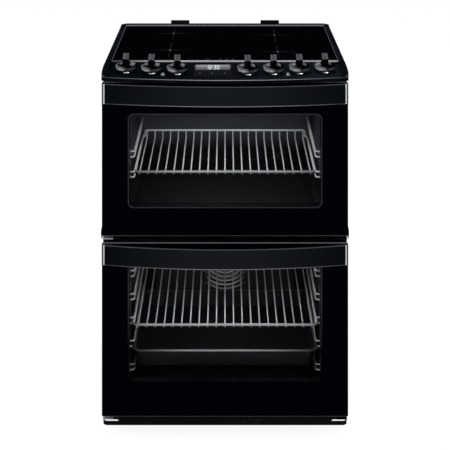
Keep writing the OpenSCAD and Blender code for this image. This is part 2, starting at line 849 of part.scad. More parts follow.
// Knob about its own axis: a flared skirt, a domed top and an upright grip
module knob(i) {
    rim_r = knob_d / 2;
    foot_z = collar_h + knob_lift;
    neck_r = collar_d / 2 - 1.5;
    rise = grip_back_z - grip_front_z;
    grip_l = knob_d - 10;
    tilt = atan(rise / grip_l);
    color("#9a9da1") on_panel(knob_xs[i - 1], knob_u) {
        translate([0, 0, stem_end]) cylinder(d = spindle_d, h = foot_z - stem_end + 1);
        rotate_extrude() polygon(concat([[0, foot_z]],
            [for (a = [0:15:90]) [neck_r + (rim_r - neck_r) * sin(a), rim_z - (rim_z - foot_z) * cos(a)]],
            [[rim_r - 0.6, rim_z + 0.9], [rim_r - 2, rim_z + 1.1], [rim_r - 3.4, rim_z + 0.5]],
            [for (a = [75:-15:0]) [9 + (rim_r - 13.5) * sin(a), rim_z + 0.5 + 4 * cos(a)]],
            [[0, rim_z + 4.5]]));
        intersection() {
            difference() {
                side_profile(-grip_w / 2, grip_w / 2)
                    polygon([[-grip_l / 2 - 1, rim_z], [-grip_l / 2, grip_front_z - 1],
                        [-grip_l / 2 + 1.2, grip_front_z], [grip_l / 2 - 3, grip_back_z],
                        [grip_l / 2 - 1, grip_back_z - 0.6], [grip_l / 2, grip_back_z - 2.4],
                        [grip_l / 2 + 2, rim_z]]);
                translate([0, grip_l / 2 - 3, grip_back_z]) rotate([tilt, 0, 0]) translate([0, 10, 0])
                    rotate([90, 0, 0]) linear_extrude(2 * knob_d)
                        polygon([[-3.6, 0.4], [-2.8, 0], [0, -1.1], [2.8, 0], [3.6, 0.4]]);
            }
            cylinder(r = rim_r - 1, h = 60);
        }
    }
}

module pilot_lamps() {
    color("#8d9093") for (x = lamp_xs) on_panel(x, lamp_u) {
        translate([0, 0, -7]) cylinder(d = lamp_d - 2, h = 7.05);
        intersection() {
            sphere(d = lamp_d);
            translate([0, 0, 0.05]) cylinder(d = lamp_d + 2, h = lamp_d);
        }
    }
}

// ---------- Ovens ----------

// Pressed steel box with a flange round its open front
module muffle(z0, z1) {
    difference() {
        union() {
            slab(oven_w + 2 * oven_t, z0 - oven_t, z1 + oven_t, body_y, oven_back_y + oven_t,
                oven_r + oven_t);
            slab(rail_w, z0 - flange_w, z1 + flange_w, body_y, body_y + oven_t, 6);
        }
        slab(oven_w, z0, z1, body_y - 1, oven_back_y, oven_r);
    }
}

// Ring of soft seal round an oven's mouth
module mouth_seal(z0, z1) {
    out = seal_in + seal_w;
    color("#202123") difference() {
        slab(oven_w + 2 * out, z0 - out, z1 + out, door_back_y + seam, body_y, oven_r + out);
        slab(oven_w + 2 * seal_in, z0 - seal_in, z1 + seal_in, door_back_y, body_y + 1, oven_r + seal_in);
    }
}

// Rod along Y between two depths, used for shafts and the holes that clear them
module y_rod(x, z, y0, y1, d) {
    translate([x, y0, z]) rotate([-90, 0, 0]) cylinder(d = d, h = y1 - y0);
}

module upper_oven() {
    color("#1a1d22") difference() {
        muffle(upper_oven_z, upper_oven_top);
        for (x = [-grill_x, grill_x]) y_rod(x, grill_z, oven_back_y - 5, oven_back_y + 5,
            element_d + 2 * seam);
        y_rod(upper_lamp.x, upper_lamp.y, oven_back_y - 5, oven_back_y + 5, 2 * (lamp_r + seam));
    }
}

module lower_oven() {
    color("#1a1d22") difference() {
        muffle(lower_oven_z, lower_oven_top);
        y_rod(0, fan_z, oven_back_y - 5, oven_back_y + 5, 2 * shaft_d);
        for (x = [-1, 1]) y_rod(x * ring_leg_x, ring_leg_z, oven_back_y - 5, oven_back_y + 5,
            ring_leg_d + 2 * seam);
        y_rod(lower_lamp.x, lower_lamp.y, oven_back_y - 5, oven_back_y + 5, 2 * (lamp_r + seam));
    }
}

module door_seals() {
    mouth_seal(upper_oven_z, upper_oven_top);
    mouth_seal(lower_oven_z, lower_oven_top);
}

// Runner wire on the right wall at one height, bent in from the uprights
module runner(z) {
    b = 6;
    rod([rack_x, rack_front_y, z], [runner_x + b, rack_front_y, z], runner_d);
    translate([runner_x + b, rack_front_y + b, z]) rotate([0, 0, 180]) elbow(b, runner_d);
    rod([runner_x, rack_front_y + b, z], [runner_x, rack_back_y - b, z], runner_d);
    translate([runner_x + b, rack_back_y - b, z]) rotate([0, 0, 90]) elbow(b, runner_d);
    rod([runner_x + b, rack_back_y, z], [rack_x, rack_back_y, z], runner_d);
}

// Pair of ladder racks with a runner pair at each of the given heights, held by
// pegs on the flat part of the walls, clear of the rounded corners
module side_racks(zs) {
    z0 = zs[0] - upright_end;
    z1 = zs[len(zs) - 1] + runner_gap + 8;
    color("#c9cccf") both_sides() {
        for (y = [rack_front_y, rack_back_y]) {
            rod([rack_x, y, z0], [rack_x, y, z1], upright_d);
            for (z = [zs[0] + runner_gap + 12, z1 - 3])
                rod([rack_x, y, z], [oven_w / 2, y, z], runner_d);
        }
        for (z = zs) {
            runner(z);
            runner(z + runner_gap);
        }
    }
}

module upper_side_racks() {
    side_racks(upper_runner_zs);
}

module lower_side_racks() {
    side_racks(lower_runner_zs);
}

// Wire shelf with its frame wire at height z and its front bar at y0. At the back
// the frame steps in beside the runners and rises to one raised bar.
module wire_shelf(y0, z) {
    w = shelf_half_w;
    y1 = shelf_back_y;
    corner = 12;
    b = 4;
    weld = 0.8;
    lip_d = shelf_wire_d - 0.6;
    lip_r = 6;
    lip_z = z + shelf_lip;
    lip_x = runner_x - runner_d / 2 - 0.8 - lip_d / 2;
    pitch = 2 * (w - corner) / (bar_count - 1);
    bar_z = z - (shelf_wire_d + bar_d) / 2 + weld;
    bar_y = y1 - (lip_d + bar_d) / 2 + weld;
    color("#c4c7ca") {
        rod([-w + corner, y0, z], [w - corner, y0, z], shelf_wire_d);
        rod([lip_r - lip_x, y1, lip_z], [lip_x - lip_r, y1, lip_z], lip_d);
        both_sides() {
            translate([w - corner, y0 + corner, z]) rotate([0, 0, 270]) elbow(corner, shelf_wire_d);
            rod([w, y0 + corner, z], [w, y1, z], shelf_wire_d);
            rod([lip_x - shelf_wire_d / 2, y1, z], [w, y1, z], shelf_wire_d);
            rod([lip_x, y1, z], [lip_x, y1, lip_z - lip_r], lip_d);
            translate([lip_x - lip_r, y1, lip_z - lip_r]) rotate([90, 0, 0]) elbow(lip_r, lip_d);
        }
        for (i = [0:bar_count - 1]) translate([-w + corner + i * pitch, 0, 0]) {
            rod([0, y0 - 2, bar_z], [0, bar_y - b, bar_z], bar_d);
            translate([0, bar_y - b, bar_z + b]) rotate([90, 0, 90]) rotate([0, 0, 270]) elbow(b, bar_d);
            rod([0, bar_y, bar_z + b], [0, bar_y, lip_z], bar_d);
        }
    }
}

module upper_shelf() {
    wire_shelf(body_y + upper_shelf_in + shelf_wire_d / 2, upper_runner_zs[0] + shelf_rest);
}

module lower_shelf() {
    wire_shelf(body_y + lower_shelf_in + shelf_wire_d / 2, lower_runner_zs[2] + shelf_rest);
}

module baking_tray() {
    draft = 7.5;
    w = 2 * (runner_x - runner_d / 2 - 1.5);
    l = tray_l - 12;
    rim_w = 2 * (runner_x + 3);
    z = tray_rim_z;
    color("#1b1c1f") translate([0, tray_y0 + tray_l / 2, 0]) {
        difference() {
            tray_form(w, l, draft, z - tray_h, z + tray_t / 2);
            tray_form(w - 2 * tray_t, l - 2 * tray_t, draft, z - tray_h + tray_t, z + tray_t + 1);
        }
        translate([0, 0, z]) linear_extrude(tray_t) difference() {
            rounded_rect(rim_w, tray_l, 18);
            rounded_rect(w - 2 * tray_t, l - 2 * tray_t, 14);
        }
    }
}

// Drafted block with rounded corners, narrower by the draft on each side at z0
module tray_form(w, l, draft, z0, z1) {
    hull() {
        translate([0, 0, z1 - 0.5]) linear_extrude(0.5) rounded_rect(w, l, 14, $fn = 32);
        translate([0, 0, z0]) linear_extrude(0.5) rounded_rect(w - 2 * draft, l - 2 * draft, 10, $fn = 32);
    }
}

module grill_element() {
    front_in = 110;
    rear_in = 80;
    y_front = body_y + front_in;
    y_rear = oven_back_y - rear_in;
    b = grill_x / 3;
    end_y = oven_back_y + oven_t + tail_l;
    color("#55585b") {
        for (x = [-grill_x, grill_x]) rod([x, y_front, grill_z], [x, end_y, grill_z], element_d);
        for (x = [-b, b]) rod([x, y_front, grill_z], [x, y_rear, grill_z], element_d);
        for (x = [-2 * b, 2 * b]) translate([x, y_front, grill_z]) rotate([0, 0, 180])
            rotate_extrude(angle = 180) translate([b, 0]) circle(d = element_d);
        translate([0, y_rear, grill_z]) rotate_extrude(angle = 180) translate([b, 0]) circle(d = element_d);
    }
}

module fan_cover() {
    w = 380;
    h = 268;
    z0 = lower_oven_z + 22;
    t = 1.2;
    rings = 5;
    per_ring = 10;
    color("#2a2d31") difference() {
        slab(w, z0, z0 + h, fan_cover_y, oven_back_y, 24);
        slab(w - 2 * t, z0 + t, z0 + h - t, fan_cover_y + t, oven_back_y + 1, 24 - t);
        for (k = [0:rings - 1], i = [0:per_ring - 1])
            translate([0, fan_cover_y + 2 * t, fan_z]) rotate([90, 0, 0])
                rotate([0, 0, i * 360 / per_ring + k * 180 / per_ring])
                    rotate_extrude(angle = 22) translate([33 + k * 11, 0]) square([5, 3 * t]);
        for (s = [-1, 1], i = [-2:2])
            translate([s * w / 2, fan_cover_y + fan_cover_d / 2, z0 + h / 2 + i * 36])
                cube([4 * t, 12, 26], center = true);
    }
}

// Fan wheel and its shaft, turning about a line along Y through the fan's middle
module fan_wheel() {
    y0 = fan_cover_y + 8;
    r = fan_d / 2;
    blade_l = 15;
    color("#a9acae") translate([0, y0, fan_z]) rotate([-90, 0, 0]) {
        translate([0, 0, blade_l]) cylinder(r = r, h = 1);
        translate([0, 0, 3]) cylinder(r = 10, h = blade_l - 2);
        translate([0, 0, 2]) cylinder(d = shaft_d, h = oven_back_y + oven_t + 22 - y0);
        for (i = [0:fan_blades - 1]) rotate([0, 0, i * 360 / fan_blades]) translate([r - 16, 0, 0])
            rotate([0, 0, 28]) translate([-12, -0.5, 0]) cube([24, 1, blade_l + 0.5]);
    }
}

module ring_element() {
    color("#55585b") {
        translate([0, ring_y, fan_z]) rotate([90, 0, 0]) rotate([0, 0, 90 + ring_gap_a])
            rotate_extrude(angle = 360 - 2 * ring_gap_a) translate([ring_r, 0]) circle(d = element_d);
        for (x = [-1, 1])
            y_rod(x * ring_leg_x, ring_leg_z, ring_y - ring_leg_d / 2, oven_back_y + oven_t + tail_l,
                ring_leg_d);
    }
}

// Mounting plate on the muffle's back, then the motor's neck, body and end cap
module fan_motor() {
    y0 = oven_back_y + oven_t;
    y1 = y0 + motor_neck_l;
    y2 = y1 + motor_l;
    color("#8f9294") difference() {
        union() {
            slab_at(0, fan_z, motor_plate_w, motor_plate_w, y0, y0 + motor_plate_t);
            y_rod(0, fan_z, y0, y1 + 1, motor_neck_d);
            slab_at(0, fan_z, motor_w, motor_h, y1, y2);
            y_rod(0, fan_z, y2 - 1, y2 + motor_cap_l, motor_cap_d);
        }
        y_rod(0, fan_z, y0 - 1, y1 + motor_neck_l, shaft_d + 2 * spindle_clear);
    }
}

// Square slab about x and z, from y0 back to y1
module slab_at(x, z, w, h, y0, y1) {
    block([x - w / 2, y0, z - h / 2], [x + w / 2, y1, z + h / 2]);
}

module oven_lamps() {
    color("#e8e4d4") for (p = [upper_lamp, lower_lamp]) {
        y_rod(p.x, p.y, oven_back_y, oven_back_y + 34, 2 * lamp_r);
        y_rod(p.x, p.y, oven_back_y - 2, oven_back_y, 2 * lamp_r + 8);
        intersection() {
            translate([p.x, oven_back_y - 2, p.y]) sphere(r = lamp_r);
            slab_at(p.x, p.y, 60, 60, oven_back_y - 30, oven_back_y - 1);
        }
    }
}

module insulation() {
    color("#d9d3bf") {
        difference() {
            blanket(upper_oven_z, upper_oven_top);
            for (x = [-grill_x, grill_x]) wool_hole(x, grill_z, element_d);
            wool_hole(upper_lamp.x, upper_lamp.y, 2 * lamp_r);
        }
        difference() {
            blanket(lower_oven_z, lower_oven_top);
            wool_hole(0, fan_z, motor_plate_w * sqrt(2));
            for (x = [-1, 1]) wool_hole(x * ring_leg_x, ring_leg_z, ring_leg_d);
            wool_hole(lower_lamp.x, lower_lamp.y, 2 * lamp_r);
        }
    }
}

// Hole through a blanket's back for what passes through it, of diameter d
module wool_hole(x, z, d) {
    y_rod(x, z, oven_back_y, oven_back_y + wool_t + 10, d + 2 * wool_gap);
}

// Blanket wrapped round one muffle, open at the front
module blanket(z0, z1) {
    a = oven_t + 0.2;
    b = oven_t + wool_t;
    difference() {
        slab(oven_w + 2 * b, z0 - b, z1 + b, body_y + 4, oven_back_y + b, oven_r + b);
        slab(oven_w + 2 * a, z0 - a, z1 + a, body_y, oven_back_y + a, oven_r + a);
    }
}

// ---------- Doors ----------

module outer_glass(z0, z1) {
    edge = 0.7;
    color("#060709") intersection() {
        slab(door_w, z0, z1, glass_y, frame_y, 3);
        side_profile(-cooker_w, cooker_w)
            polygon([[glass_y, z0 + edge], [glass_y + edge, z0], [frame_y, z0], [frame_y, z1],
                [glass_y + edge, z1], [glass_y, z1 - edge]]);
    }
}

// Folded frame behind the glass: a channel all round the window, with a rebate at
// the back for the inner glass and a pocket in each lower corner for a hinge leaf
module door_frame(z0, z1, w0, w1) {
    w = door_w - 2 * door_frame_inset;
    e = 2;
    lap = inner_glass_lap;
    rebate_y = door_back_y - inner_glass_t - seam;
    color("#1d1f22") difference() {
        slab(w, z0 + e, z1 - e, frame_y, door_back_y, 8);
        slab(window_w, w0, w1, frame_y - 1, door_back_y + 1, window_r);
        slab(window_w + 2 * lap, w0 - lap, w1 + lap, rebate_y, door_back_y + 1, window_r + lap);
        difference() {
            slab(w - 2 * door_sheet, z0 + e + door_sheet, z1 - e - door_sheet, frame_y - 1,
                rebate_y - door_sheet, 8 - door_sheet);
            slab(window_w + 2 * door_sheet, w0 - door_sheet, w1 + door_sheet, frame_y - 2, door_back_y,
                window_r + door_sheet);
        }
        both_sides() block([leaf_x - seam, frame_y - 1, z0],
            [door_w, door_back_y + 1, z0 + e + leaf_h + seam]);
    }
}

module inner_glass(w0, w1) {
    lap = inner_glass_lap - seam;
    color("#2a3034") slab(window_w + 2 * lap, w0 - lap, w1 + lap, door_back_y - inner_glass_t, door_back_y,
        window_r + lap);
}

module hinge_leaves(z0) {
    color("#a3a6a9") both_sides() difference() {
        block([leaf_x, frame_y + seam, z0 + 2 + seam],
            [leaf_x + leaf_w, door_back_y - seam, z0 + 2 + leaf_h]);
        rod([leaf_x - 1, pin_y, z0 + pin_rise], [leaf_x + leaf_w + 1, pin_y, z0 + pin_rise],
            pin_d + 2 * pin_clear);
    }
}

// Bowed band standing in front of the glass, closed on to it at both ends
module handle(top) {
    z0 = top - handle_h;
    edge = 1.2;
    color("#15181d") {
        intersection() {
            bowed(handle_cy) translate([handle_r, z0]) polygon([[-handle_t, edge], [edge - handle_t, 0],
                [-edge, 0], [0, edge], [0, handle_h - edge], [-edge, handle_h], [edge - handle_t, handle_h],
                [-handle_t, handle_h - edge]]);
            block([-door_w / 2, front_y - 1, z0], [door_w / 2, glass_y, top]);
        }
        both_sides() translate([0, 0, z0 + 1]) linear_extrude(handle_h - 2) intersection() {
            translate([0, handle_cy]) circle(r = handle_r - handle_t / 2, $fn = arc_fn);
            translate([door_w / 2 - handle_end, front_y]) square([handle_end - 2, glass_y - front_y]);
        }
    }
}

module hinge_brackets() {
    plate_t = 1.5;
    strap_t = 2;
    strap_z = -9.5;
    x0 = leaf_x + 4;
    x1 = body_w / 2 - 2;
    color("#c2c5c8") for (z = [lower_door_z, upper_door_z]) both_sides() {
        block([x0, body_y - plate_t, z + strap_z], [x1, body_y, z + 22]);
        block([x0, glass_y + 4, z + strap_z], [x1, body_y, z + strap_z + strap_t]);
        side_profile(ear_x, ear_x + ear_t) {
            translate([pin_y, z + pin_rise]) circle(r = 4.5);
            translate([pin_y, z + pin_rise - 3.5]) square([body_y - pin_y, 10]);
        }
        rod([leaf_x + 3, pin_y, z + pin_rise], [ear_x + 1, pin_y, z + pin_rise], pin_d);
    }
}

module upper_door_frame() {
    door_frame(upper_door_z, upper_door_top, upper_window[0], upper_window[1]);
}

module upper_outer_glass() {
    outer_glass(upper_door_z, upper_door_top);
}

module upper_inner_glass() {
    inner_glass(upper_window[0], upper_window[1]);
}

module upper_handle() {
    handle(upper_door_top - handle_drop);
}

module upper_hinge_leaves() {
    hinge_leaves(upper_door_z);
}

module lower_door_frame() {
    door_frame(lower_door_z, lower_door_top, lower_window[0], lower_window[1]);
}

module lower_outer_glass() {
    outer_glass(lower_door_z, lower_door_top);
}

module lower_inner_glass() {
    inner_glass(lower_window[0], lower_window[1]);
}

module lower_handle() {
    handle(lower_door_top - handle_drop);
}

module lower_hinge_leaves() {
    hinge_leaves(lower_door_z);
}

side_panel_left();
side_panel_right();
back_panel();
base_pan();
plinth();
top_rail();
mid_rail();
rear_standoffs();
terminal_box();
levelling_foot(1);  // levelling_foot_1
levelling_foot(2);  // levelling_foot_2
levelling_foot(3);  // levelling_foot_3
levelling_foot(4);  // levelling_foot_4
hob_frame();
hob_glass();
hob_base();
induction_coils();
power_unit();
control_panel();
display_window();
clock_module();
rotary_switches();
display_button(1);  // display_button_1
display_button(2);  // display_button_2
display_button(3);  // display_button_3
knob(1);  // knob_1
knob(2);  // knob_2
knob(3);  // knob_3
knob(4);  // knob_4
knob(5);  // knob_5
knob(6);  // knob_6
knob(7);  // knob_7
knob_collars();
pilot_lamps();
upper_oven();
door_seals();
upper_side_racks();
upper_shelf();
grill_element();
lower_oven();
lower_side_racks();
lower_shelf();
baking_tray();
fan_cover();
fan_wheel();
ring_element();
fan_motor();
oven_lamps();
insulation();
hinge_brackets();
upper_door_frame();
upper_outer_glass();
upper_inner_glass();
upper_handle();
upper_hinge_leaves();
lower_door_frame();
lower_outer_glass();
lower_inner_glass();
lower_handle();
lower_hinge_leaves();
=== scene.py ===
"""Looks of the freestanding range cooker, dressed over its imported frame."""
import math

import bpy
import numpy as np
from mathutils import Matrix, Vector


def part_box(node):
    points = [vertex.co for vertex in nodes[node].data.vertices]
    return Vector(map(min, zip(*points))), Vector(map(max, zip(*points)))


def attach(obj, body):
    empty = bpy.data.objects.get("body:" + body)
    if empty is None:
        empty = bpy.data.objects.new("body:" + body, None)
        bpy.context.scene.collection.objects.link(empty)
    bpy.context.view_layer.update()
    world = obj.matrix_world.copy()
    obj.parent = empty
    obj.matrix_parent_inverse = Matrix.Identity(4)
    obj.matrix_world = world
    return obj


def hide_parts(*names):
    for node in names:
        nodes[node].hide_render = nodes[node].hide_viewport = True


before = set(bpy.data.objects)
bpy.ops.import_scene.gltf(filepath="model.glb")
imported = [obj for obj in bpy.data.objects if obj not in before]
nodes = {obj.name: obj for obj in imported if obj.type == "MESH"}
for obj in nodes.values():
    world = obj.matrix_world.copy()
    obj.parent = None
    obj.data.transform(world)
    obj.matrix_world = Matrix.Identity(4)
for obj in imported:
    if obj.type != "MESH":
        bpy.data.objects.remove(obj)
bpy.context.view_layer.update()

TAU = 2 * math.pi


# ---------- Numbers shared by the pieces, in metres ----------

# Control panel: a name ending in _U is a distance back from its bowed front edge, one ending in _Z
# is a height over the floor, and a knob's heights are over the panel's slope
panel_low, panel_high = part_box("control_panel")
PANEL_DEPTH = 0.130
BOW = 0.031
PANEL_HALF_W = panel_high.x
PANEL_RADIUS = (PANEL_HALF_W ** 2 + BOW ** 2) / (2 * BOW)
PANEL_CENTRE_Y = panel_low.y + PANEL_RADIUS
LIP_Z = 0.882
KNEE_U = 0.067
KNEE_RISE = 0.005
KNEE_Z = LIP_Z + KNEE_RISE
PANEL_BACK_Z = 0.896
KNOB_U = 0.051
KNOB_RIM_Z = 0.0165
KNOB_GRIP_HALF = 0.0205
KNOB_GRIP_Z = 0.030
KNOB_GRIP_SLOPE = 0.268
KNOB_FACE_START = -0.011
CHEEK_W = 0.015

# Fan cover: its middle height, its slotted rings, and the radii between which painted light makes them pale
FAN_Z = 0.280
FAN_RING_R = 0.041
FAN_RING_PITCH = 0.011
FAN_PAINTED_LIGHT = (0.030, 0.086)

# Display: the readout band in x and y, the keys' line before it, and the figures
READOUT_X = (-0.0725, 0.0125)
READOUT_Y = (-0.2195, -0.1850)
DISPLAY_KEYS_Y = -0.2730
DIGIT_X = -0.0303
DIGITS_WIDTH = 0.031
DIGIT_HEIGHT = 0.021

# Doors' windows and panes
WINDOW_HALF_W = 0.2325
WINDOW_RADIUS = 0.012
UPPER_WINDOW = (0.568, 0.792)
LOWER_WINDOW = (0.1455, 0.436)
PANE_LAP = 0.0137
OUTLINE = 0.002
GROUND_EDGE = 0.0009

# Mouth seals, the back panel's screws, and the raised strip behind the hob glass
SEAL_WIDTH = 0.007
SEAL_REACH = 0.007
SEAL_DEPTH = 0.0037
SEAL_CORNER = 0.0275
SCREW_INSET = 0.012
SCREW_RADIUS = 0.0042
SCREW_COLUMNS = 5
TRIM_SIDE = 0.0002
TRIM_FRONT = 0.2725
TRIM_BACK = 0.2985
TRIM_CORNER = 0.022
TRIM_EDGE = 0.0008
TRIM_TOP = 0.9017
TRIM_FOOT = 0.8985

# Hob: the middle in x and y and the radius of each cooking zone, and the touch signs in x
ZONES = [(-0.142, 0.165, 0.086), (-0.142, -0.048, 0.088), (0.136, 0.142, 0.088), (0.136, -0.068, 0.075)]
TOUCH_XS = (-0.043, -0.012, 0.005, 0.020)


# ---------- Camera ----------

# The photograph's rays: focal length and horizon in pixels of its 450 px frame,
# and the eye's depth and height in metres. The film stands upright while the rays
# fall, so the camera hangs on a rig whose inverse shears it.
FOCAL_PX = 1187.8
HORIZON_PX = -209.0
HALF_FRAME_PX = 225
FRAME_PX = 450
EYE_Y = -3.1294
EYE_Z = 1.572
SENSOR_MM = 36


def place_camera():
    """Level film plane, rays falling by the shear s = (middle - horizon) / focal."""
    fall = (HALF_FRAME_PX - HORIZON_PX) / FOCAL_PX
    forward = Vector((0, 1, -fall)).normalized()
    back = -forward
    shear = Matrix(((1, 0, back.x, 0), (0, 0, back.y, EYE_Y), (0, 1, back.z, EYE_Z), (0, 0, 0, 1)))
    rig = bpy.data.objects.new("camera_rig", None)
    camera = bpy.data.objects.new("camera", bpy.data.cameras.new("camera"))
    for item in (rig, camera):
        bpy.context.scene.collection.objects.link(item)
    camera.parent = rig
    camera.matrix_parent_inverse = shear
    camera.data.sensor_width = SENSOR_MM
    camera.data.lens = (FOCAL_PX / forward.y) / FRAME_PX * SENSOR_MM
    camera.data.clip_start = 0.05
    camera.data.clip_end = 100
    bpy.context.scene.camera = camera


# ---------- Node helpers ----------

def linear(r, g, b):
    """An sRGB colour of 0 to 255 as linear light."""
    def one(v):
        v /= 255
        return v / 12.92 if v <= 0.04045 else ((v + 0.055) / 1.055) ** 2.4
    return (one(r), one(g), one(b), 1)


class Net:
    """Short calls for building one node tree."""

    def __init__(self, tree):
        self.tree = tree

    def add(self, kind, inputs=None, **settings):
        node = self.tree.nodes.new("ShaderNode" + kind)
        for key, value in settings.items():
            setattr(node, key, value)
        for key, value in (inputs or {}).items():
            if isinstance(value, bpy.types.NodeSocket):
                self.tree.links.new(value, node.inputs[key])
            else:
                node.inputs[key].default_value = value
        return node

    def math(self, operation, a, b=0.0, c=0.0, clamp=False):
        return self.add("Math", {0: a, 1: b, 2: c}, operation=operation, use_clamp=clamp).outputs[0]

    def mix(self, factor, a, b):
        node = self.add("Mix", {0: factor, 6: a, 7: b}, data_type="RGBA")
        return node.outputs[2]

    def mix_value(self, factor, a, b):
        return self.add("Mix", {0: factor, 2: a, 3: b}, data_type="FLOAT").outputs[0]

    def place(self):
        """Object coordinates, which are the cooker's own frame in metres."""
        return self.add("TexCoord").outputs["Object"]

    def axes(self):
        node = self.add("SeparateXYZ", {0: self.place()})
        return node.outputs[0], node.outputs[1], node.outputs[2]

    def ramp(self, value, low, high):
        """0 below low, 1 above high, straight between."""
        return self.add("MapRange", {0: value, 1: low, 2: high, 3: 0.0, 4: 1.0}, clamp=True).outputs[0]

    def within(self, value, low, high, edge=0.0002):
        """1 where value lies between low and high."""
        return self.math("MULTIPLY", self.ramp(value, low - edge, low + edge),
                         self.math("SUBTRACT", 1.0, self.ramp(value, high - edge, high + edge)))


def make_group(name, inputs, outputs, build):
    """A shader node group with named float inputs and float outputs."""
    tree = bpy.data.node_groups.new(name, "ShaderNodeTree")
    tree.interface.new_socket("Position", in_out="INPUT", socket_type="NodeSocketVector")
    for key, value in inputs.items():
        socket = tree.interface.new_socket(key, in_out="INPUT", socket_type="NodeSocketFloat")
        socket.default_value = value
    for key in outputs:
        tree.interface.new_socket(key, in_out="OUTPUT", socket_type="NodeSocketFloat")
    net = Net(tree)
    given = tree.nodes.new("NodeGroupInput")
    result = tree.nodes.new("NodeGroupOutput")
    for key, socket in build(net, given.outputs).items():
        tree.links.new(socket, result.inputs[key])
    return tree


def build_grain(net, given):
    """Fine even noise for moulded and enamelled faces, with a broad cloudiness."""
    fine = net.add("TexNoise", {"Vector": given["Position"], "Scale": given["Scale"], "Detail": 3.0})
    broad = net.add("TexNoise", {"Vector": given["Position"], "Scale": 7.0, "Detail": 2.0})
    return {"Height": fine.outputs[0], "Cloud": net.ramp(broad.outputs[0], 0.35, 0.7)}


def build_brush(net, given):
    """Noise drawn out along X, as drawn or brushed metal shows."""
    stretched = net.add("Mapping", {"Vector": given["Position"], "Scale": (0.03, 1.0, 1.0)})
    lines = net.add("TexNoise", {"Vector": stretched.outputs[0], "Scale": given["Scale"], "Detail": 4.0})
    return {"Height": lines.outputs[0], "Streak": net.ramp(lines.outputs[0], 0.3, 0.7)}


def build_speckle(net, given):
    """Small pale dots scattered through vitreous enamel."""
    cells = net.add("TexVoronoi", {"Vector": given["Position"], "Scale": given["Scale"]})
    dot = net.math("SUBTRACT", 1.0, net.ramp(cells.outputs["Distance"], 0.05, 0.16))
    chosen = net.ramp(net.add("SeparateColor", {0: cells.outputs["Color"]}).outputs[0], 0.6, 0.62)
    wave = net.add("TexNoise", {"Vector": given["Position"], "Scale": 35.0, "Detail": 1.0})
    return {"Mask": net.math("MULTIPLY", dot, chosen), "Height": wave.outputs[0]}


def build_dust(net, given):
    """Faint handling dust: broad noise broken up by a finer one."""
    broad = net.add("TexNoise", {"Vector": given["Position"], "Scale": 4.0, "Detail": 4.0})
    fine = net.add("TexNoise", {"Vector": given["Position"], "Scale": 90.0, "Detail": 2.0})
    both = net.math("MULTIPLY", net.ramp(broad.outputs[0], 0.45, 0.75), net.ramp(fine.outputs[0], 0.4, 0.7))
    return {"Mask": net.math("MULTIPLY", both, given["Amount"])}


def build_window_mask(net, given):
    """1 inside a rounded rectangle in X and Z, by its half sizes, middle height and radius."""
    split = net.add("SeparateXYZ", {0: given["Position"]})
    def beyond(value, half):
        return net.math("MAXIMUM", net.math("SUBTRACT", net.math("ABSOLUTE", value),
                                            net.math("SUBTRACT", half, given["Radius"])), 0.0)
    x = beyond(split.outputs[0], given["Half Width"])
    z = beyond(net.math("SUBTRACT", split.outputs[2], given["Middle"]), given["Half Height"])
    reach = net.math("SQRT", net.math("ADD", net.math("MULTIPLY", x, x), net.math("MULTIPLY", z, z)))
    inside = net.math("SUBTRACT", given["Radius"], reach)
    return {"Mask": net.ramp(inside, 0.0, 0.0006)}


grain = make_group("fine_grain", {"Scale": 900.0}, ["Height", "Cloud"], build_grain)
brush = make_group("brushed_lines", {"Scale": 700.0}, ["Height", "Streak"], build_brush)
speckle = make_group("enamel_speckle", {"Scale": 260.0}, ["Mask", "Height"], build_speckle)
dust = make_group("handling_dust", {"Amount": 0.3}, ["Mask"], build_dust)
pane = make_group("rounded_window", {"Half Width": 0.2, "Half Height": 0.1, "Middle": 0.5, "Radius": 0.01},
                  ["Mask"], build_window_mask)


def use(net, tree, **inputs):
    """Places a node group on object coordinates."""
    node = net.add("Group", node_tree=tree)
    net.tree.links.new(net.place(), node.inputs["Position"])
    for key, value in inputs.items():
        node.inputs[key.replace("_", " ")].default_value = value
    return node.outputs


def finish_of(name, **constants):
    """An empty material with a Principled shader; constants go on its own sockets."""
    material = bpy.data.materials.new(name)
    material.use_nodes = True
    material.node_tree.nodes.clear()
    net = Net(material.node_tree)
    shader = net.add("BsdfPrincipled")
    out = net.add("OutputMaterial")
    net.tree.links.new(shader.outputs[0], out.inputs[0])
    for key, value in constants.items():
        shader.inputs[key.replace("_", " ")].default_value = value
    return material, net, shader


def feed(net, shader, **sockets):
    for key, socket in sockets.items():
        net.tree.links.new(socket, shader.inputs[key.replace("_", " ")])


def bump(net, shader, height, distance, strength=1.0):
    node = net.add("Bump", {"Height": height, "Distance": distance, "Strength": strength})
    net.tree.links.new(node.outputs[0], shader.inputs["Normal"])


# ---------- Finishes ----------

def enamelled_sheet(name, colour, rough, level=0.3):
    """Sheet steel in smooth enamel, with faint orange peel and dust."""
    material, net, shader = finish_of(name, Specular_IOR_Level=level)
    peel = use(net, grain, Scale=350.0)
    dusty = use(net, dust, Amount=0.12)
    cloudy = tuple(1.6 * c for c in colour[:3]) + (1,)
    tone = net.mix(net.math("MULTIPLY", peel["Cloud"], 0.35), colour, cloudy)
    feed(net, shader, Base_Color=net.mix(dusty["Mask"], tone, linear(90, 92, 95)),
         Roughness=net.mix_value(peel["Cloud"], rough, rough + 0.08))
    bump(net, shader, peel["Height"], 0.00006)
    return material


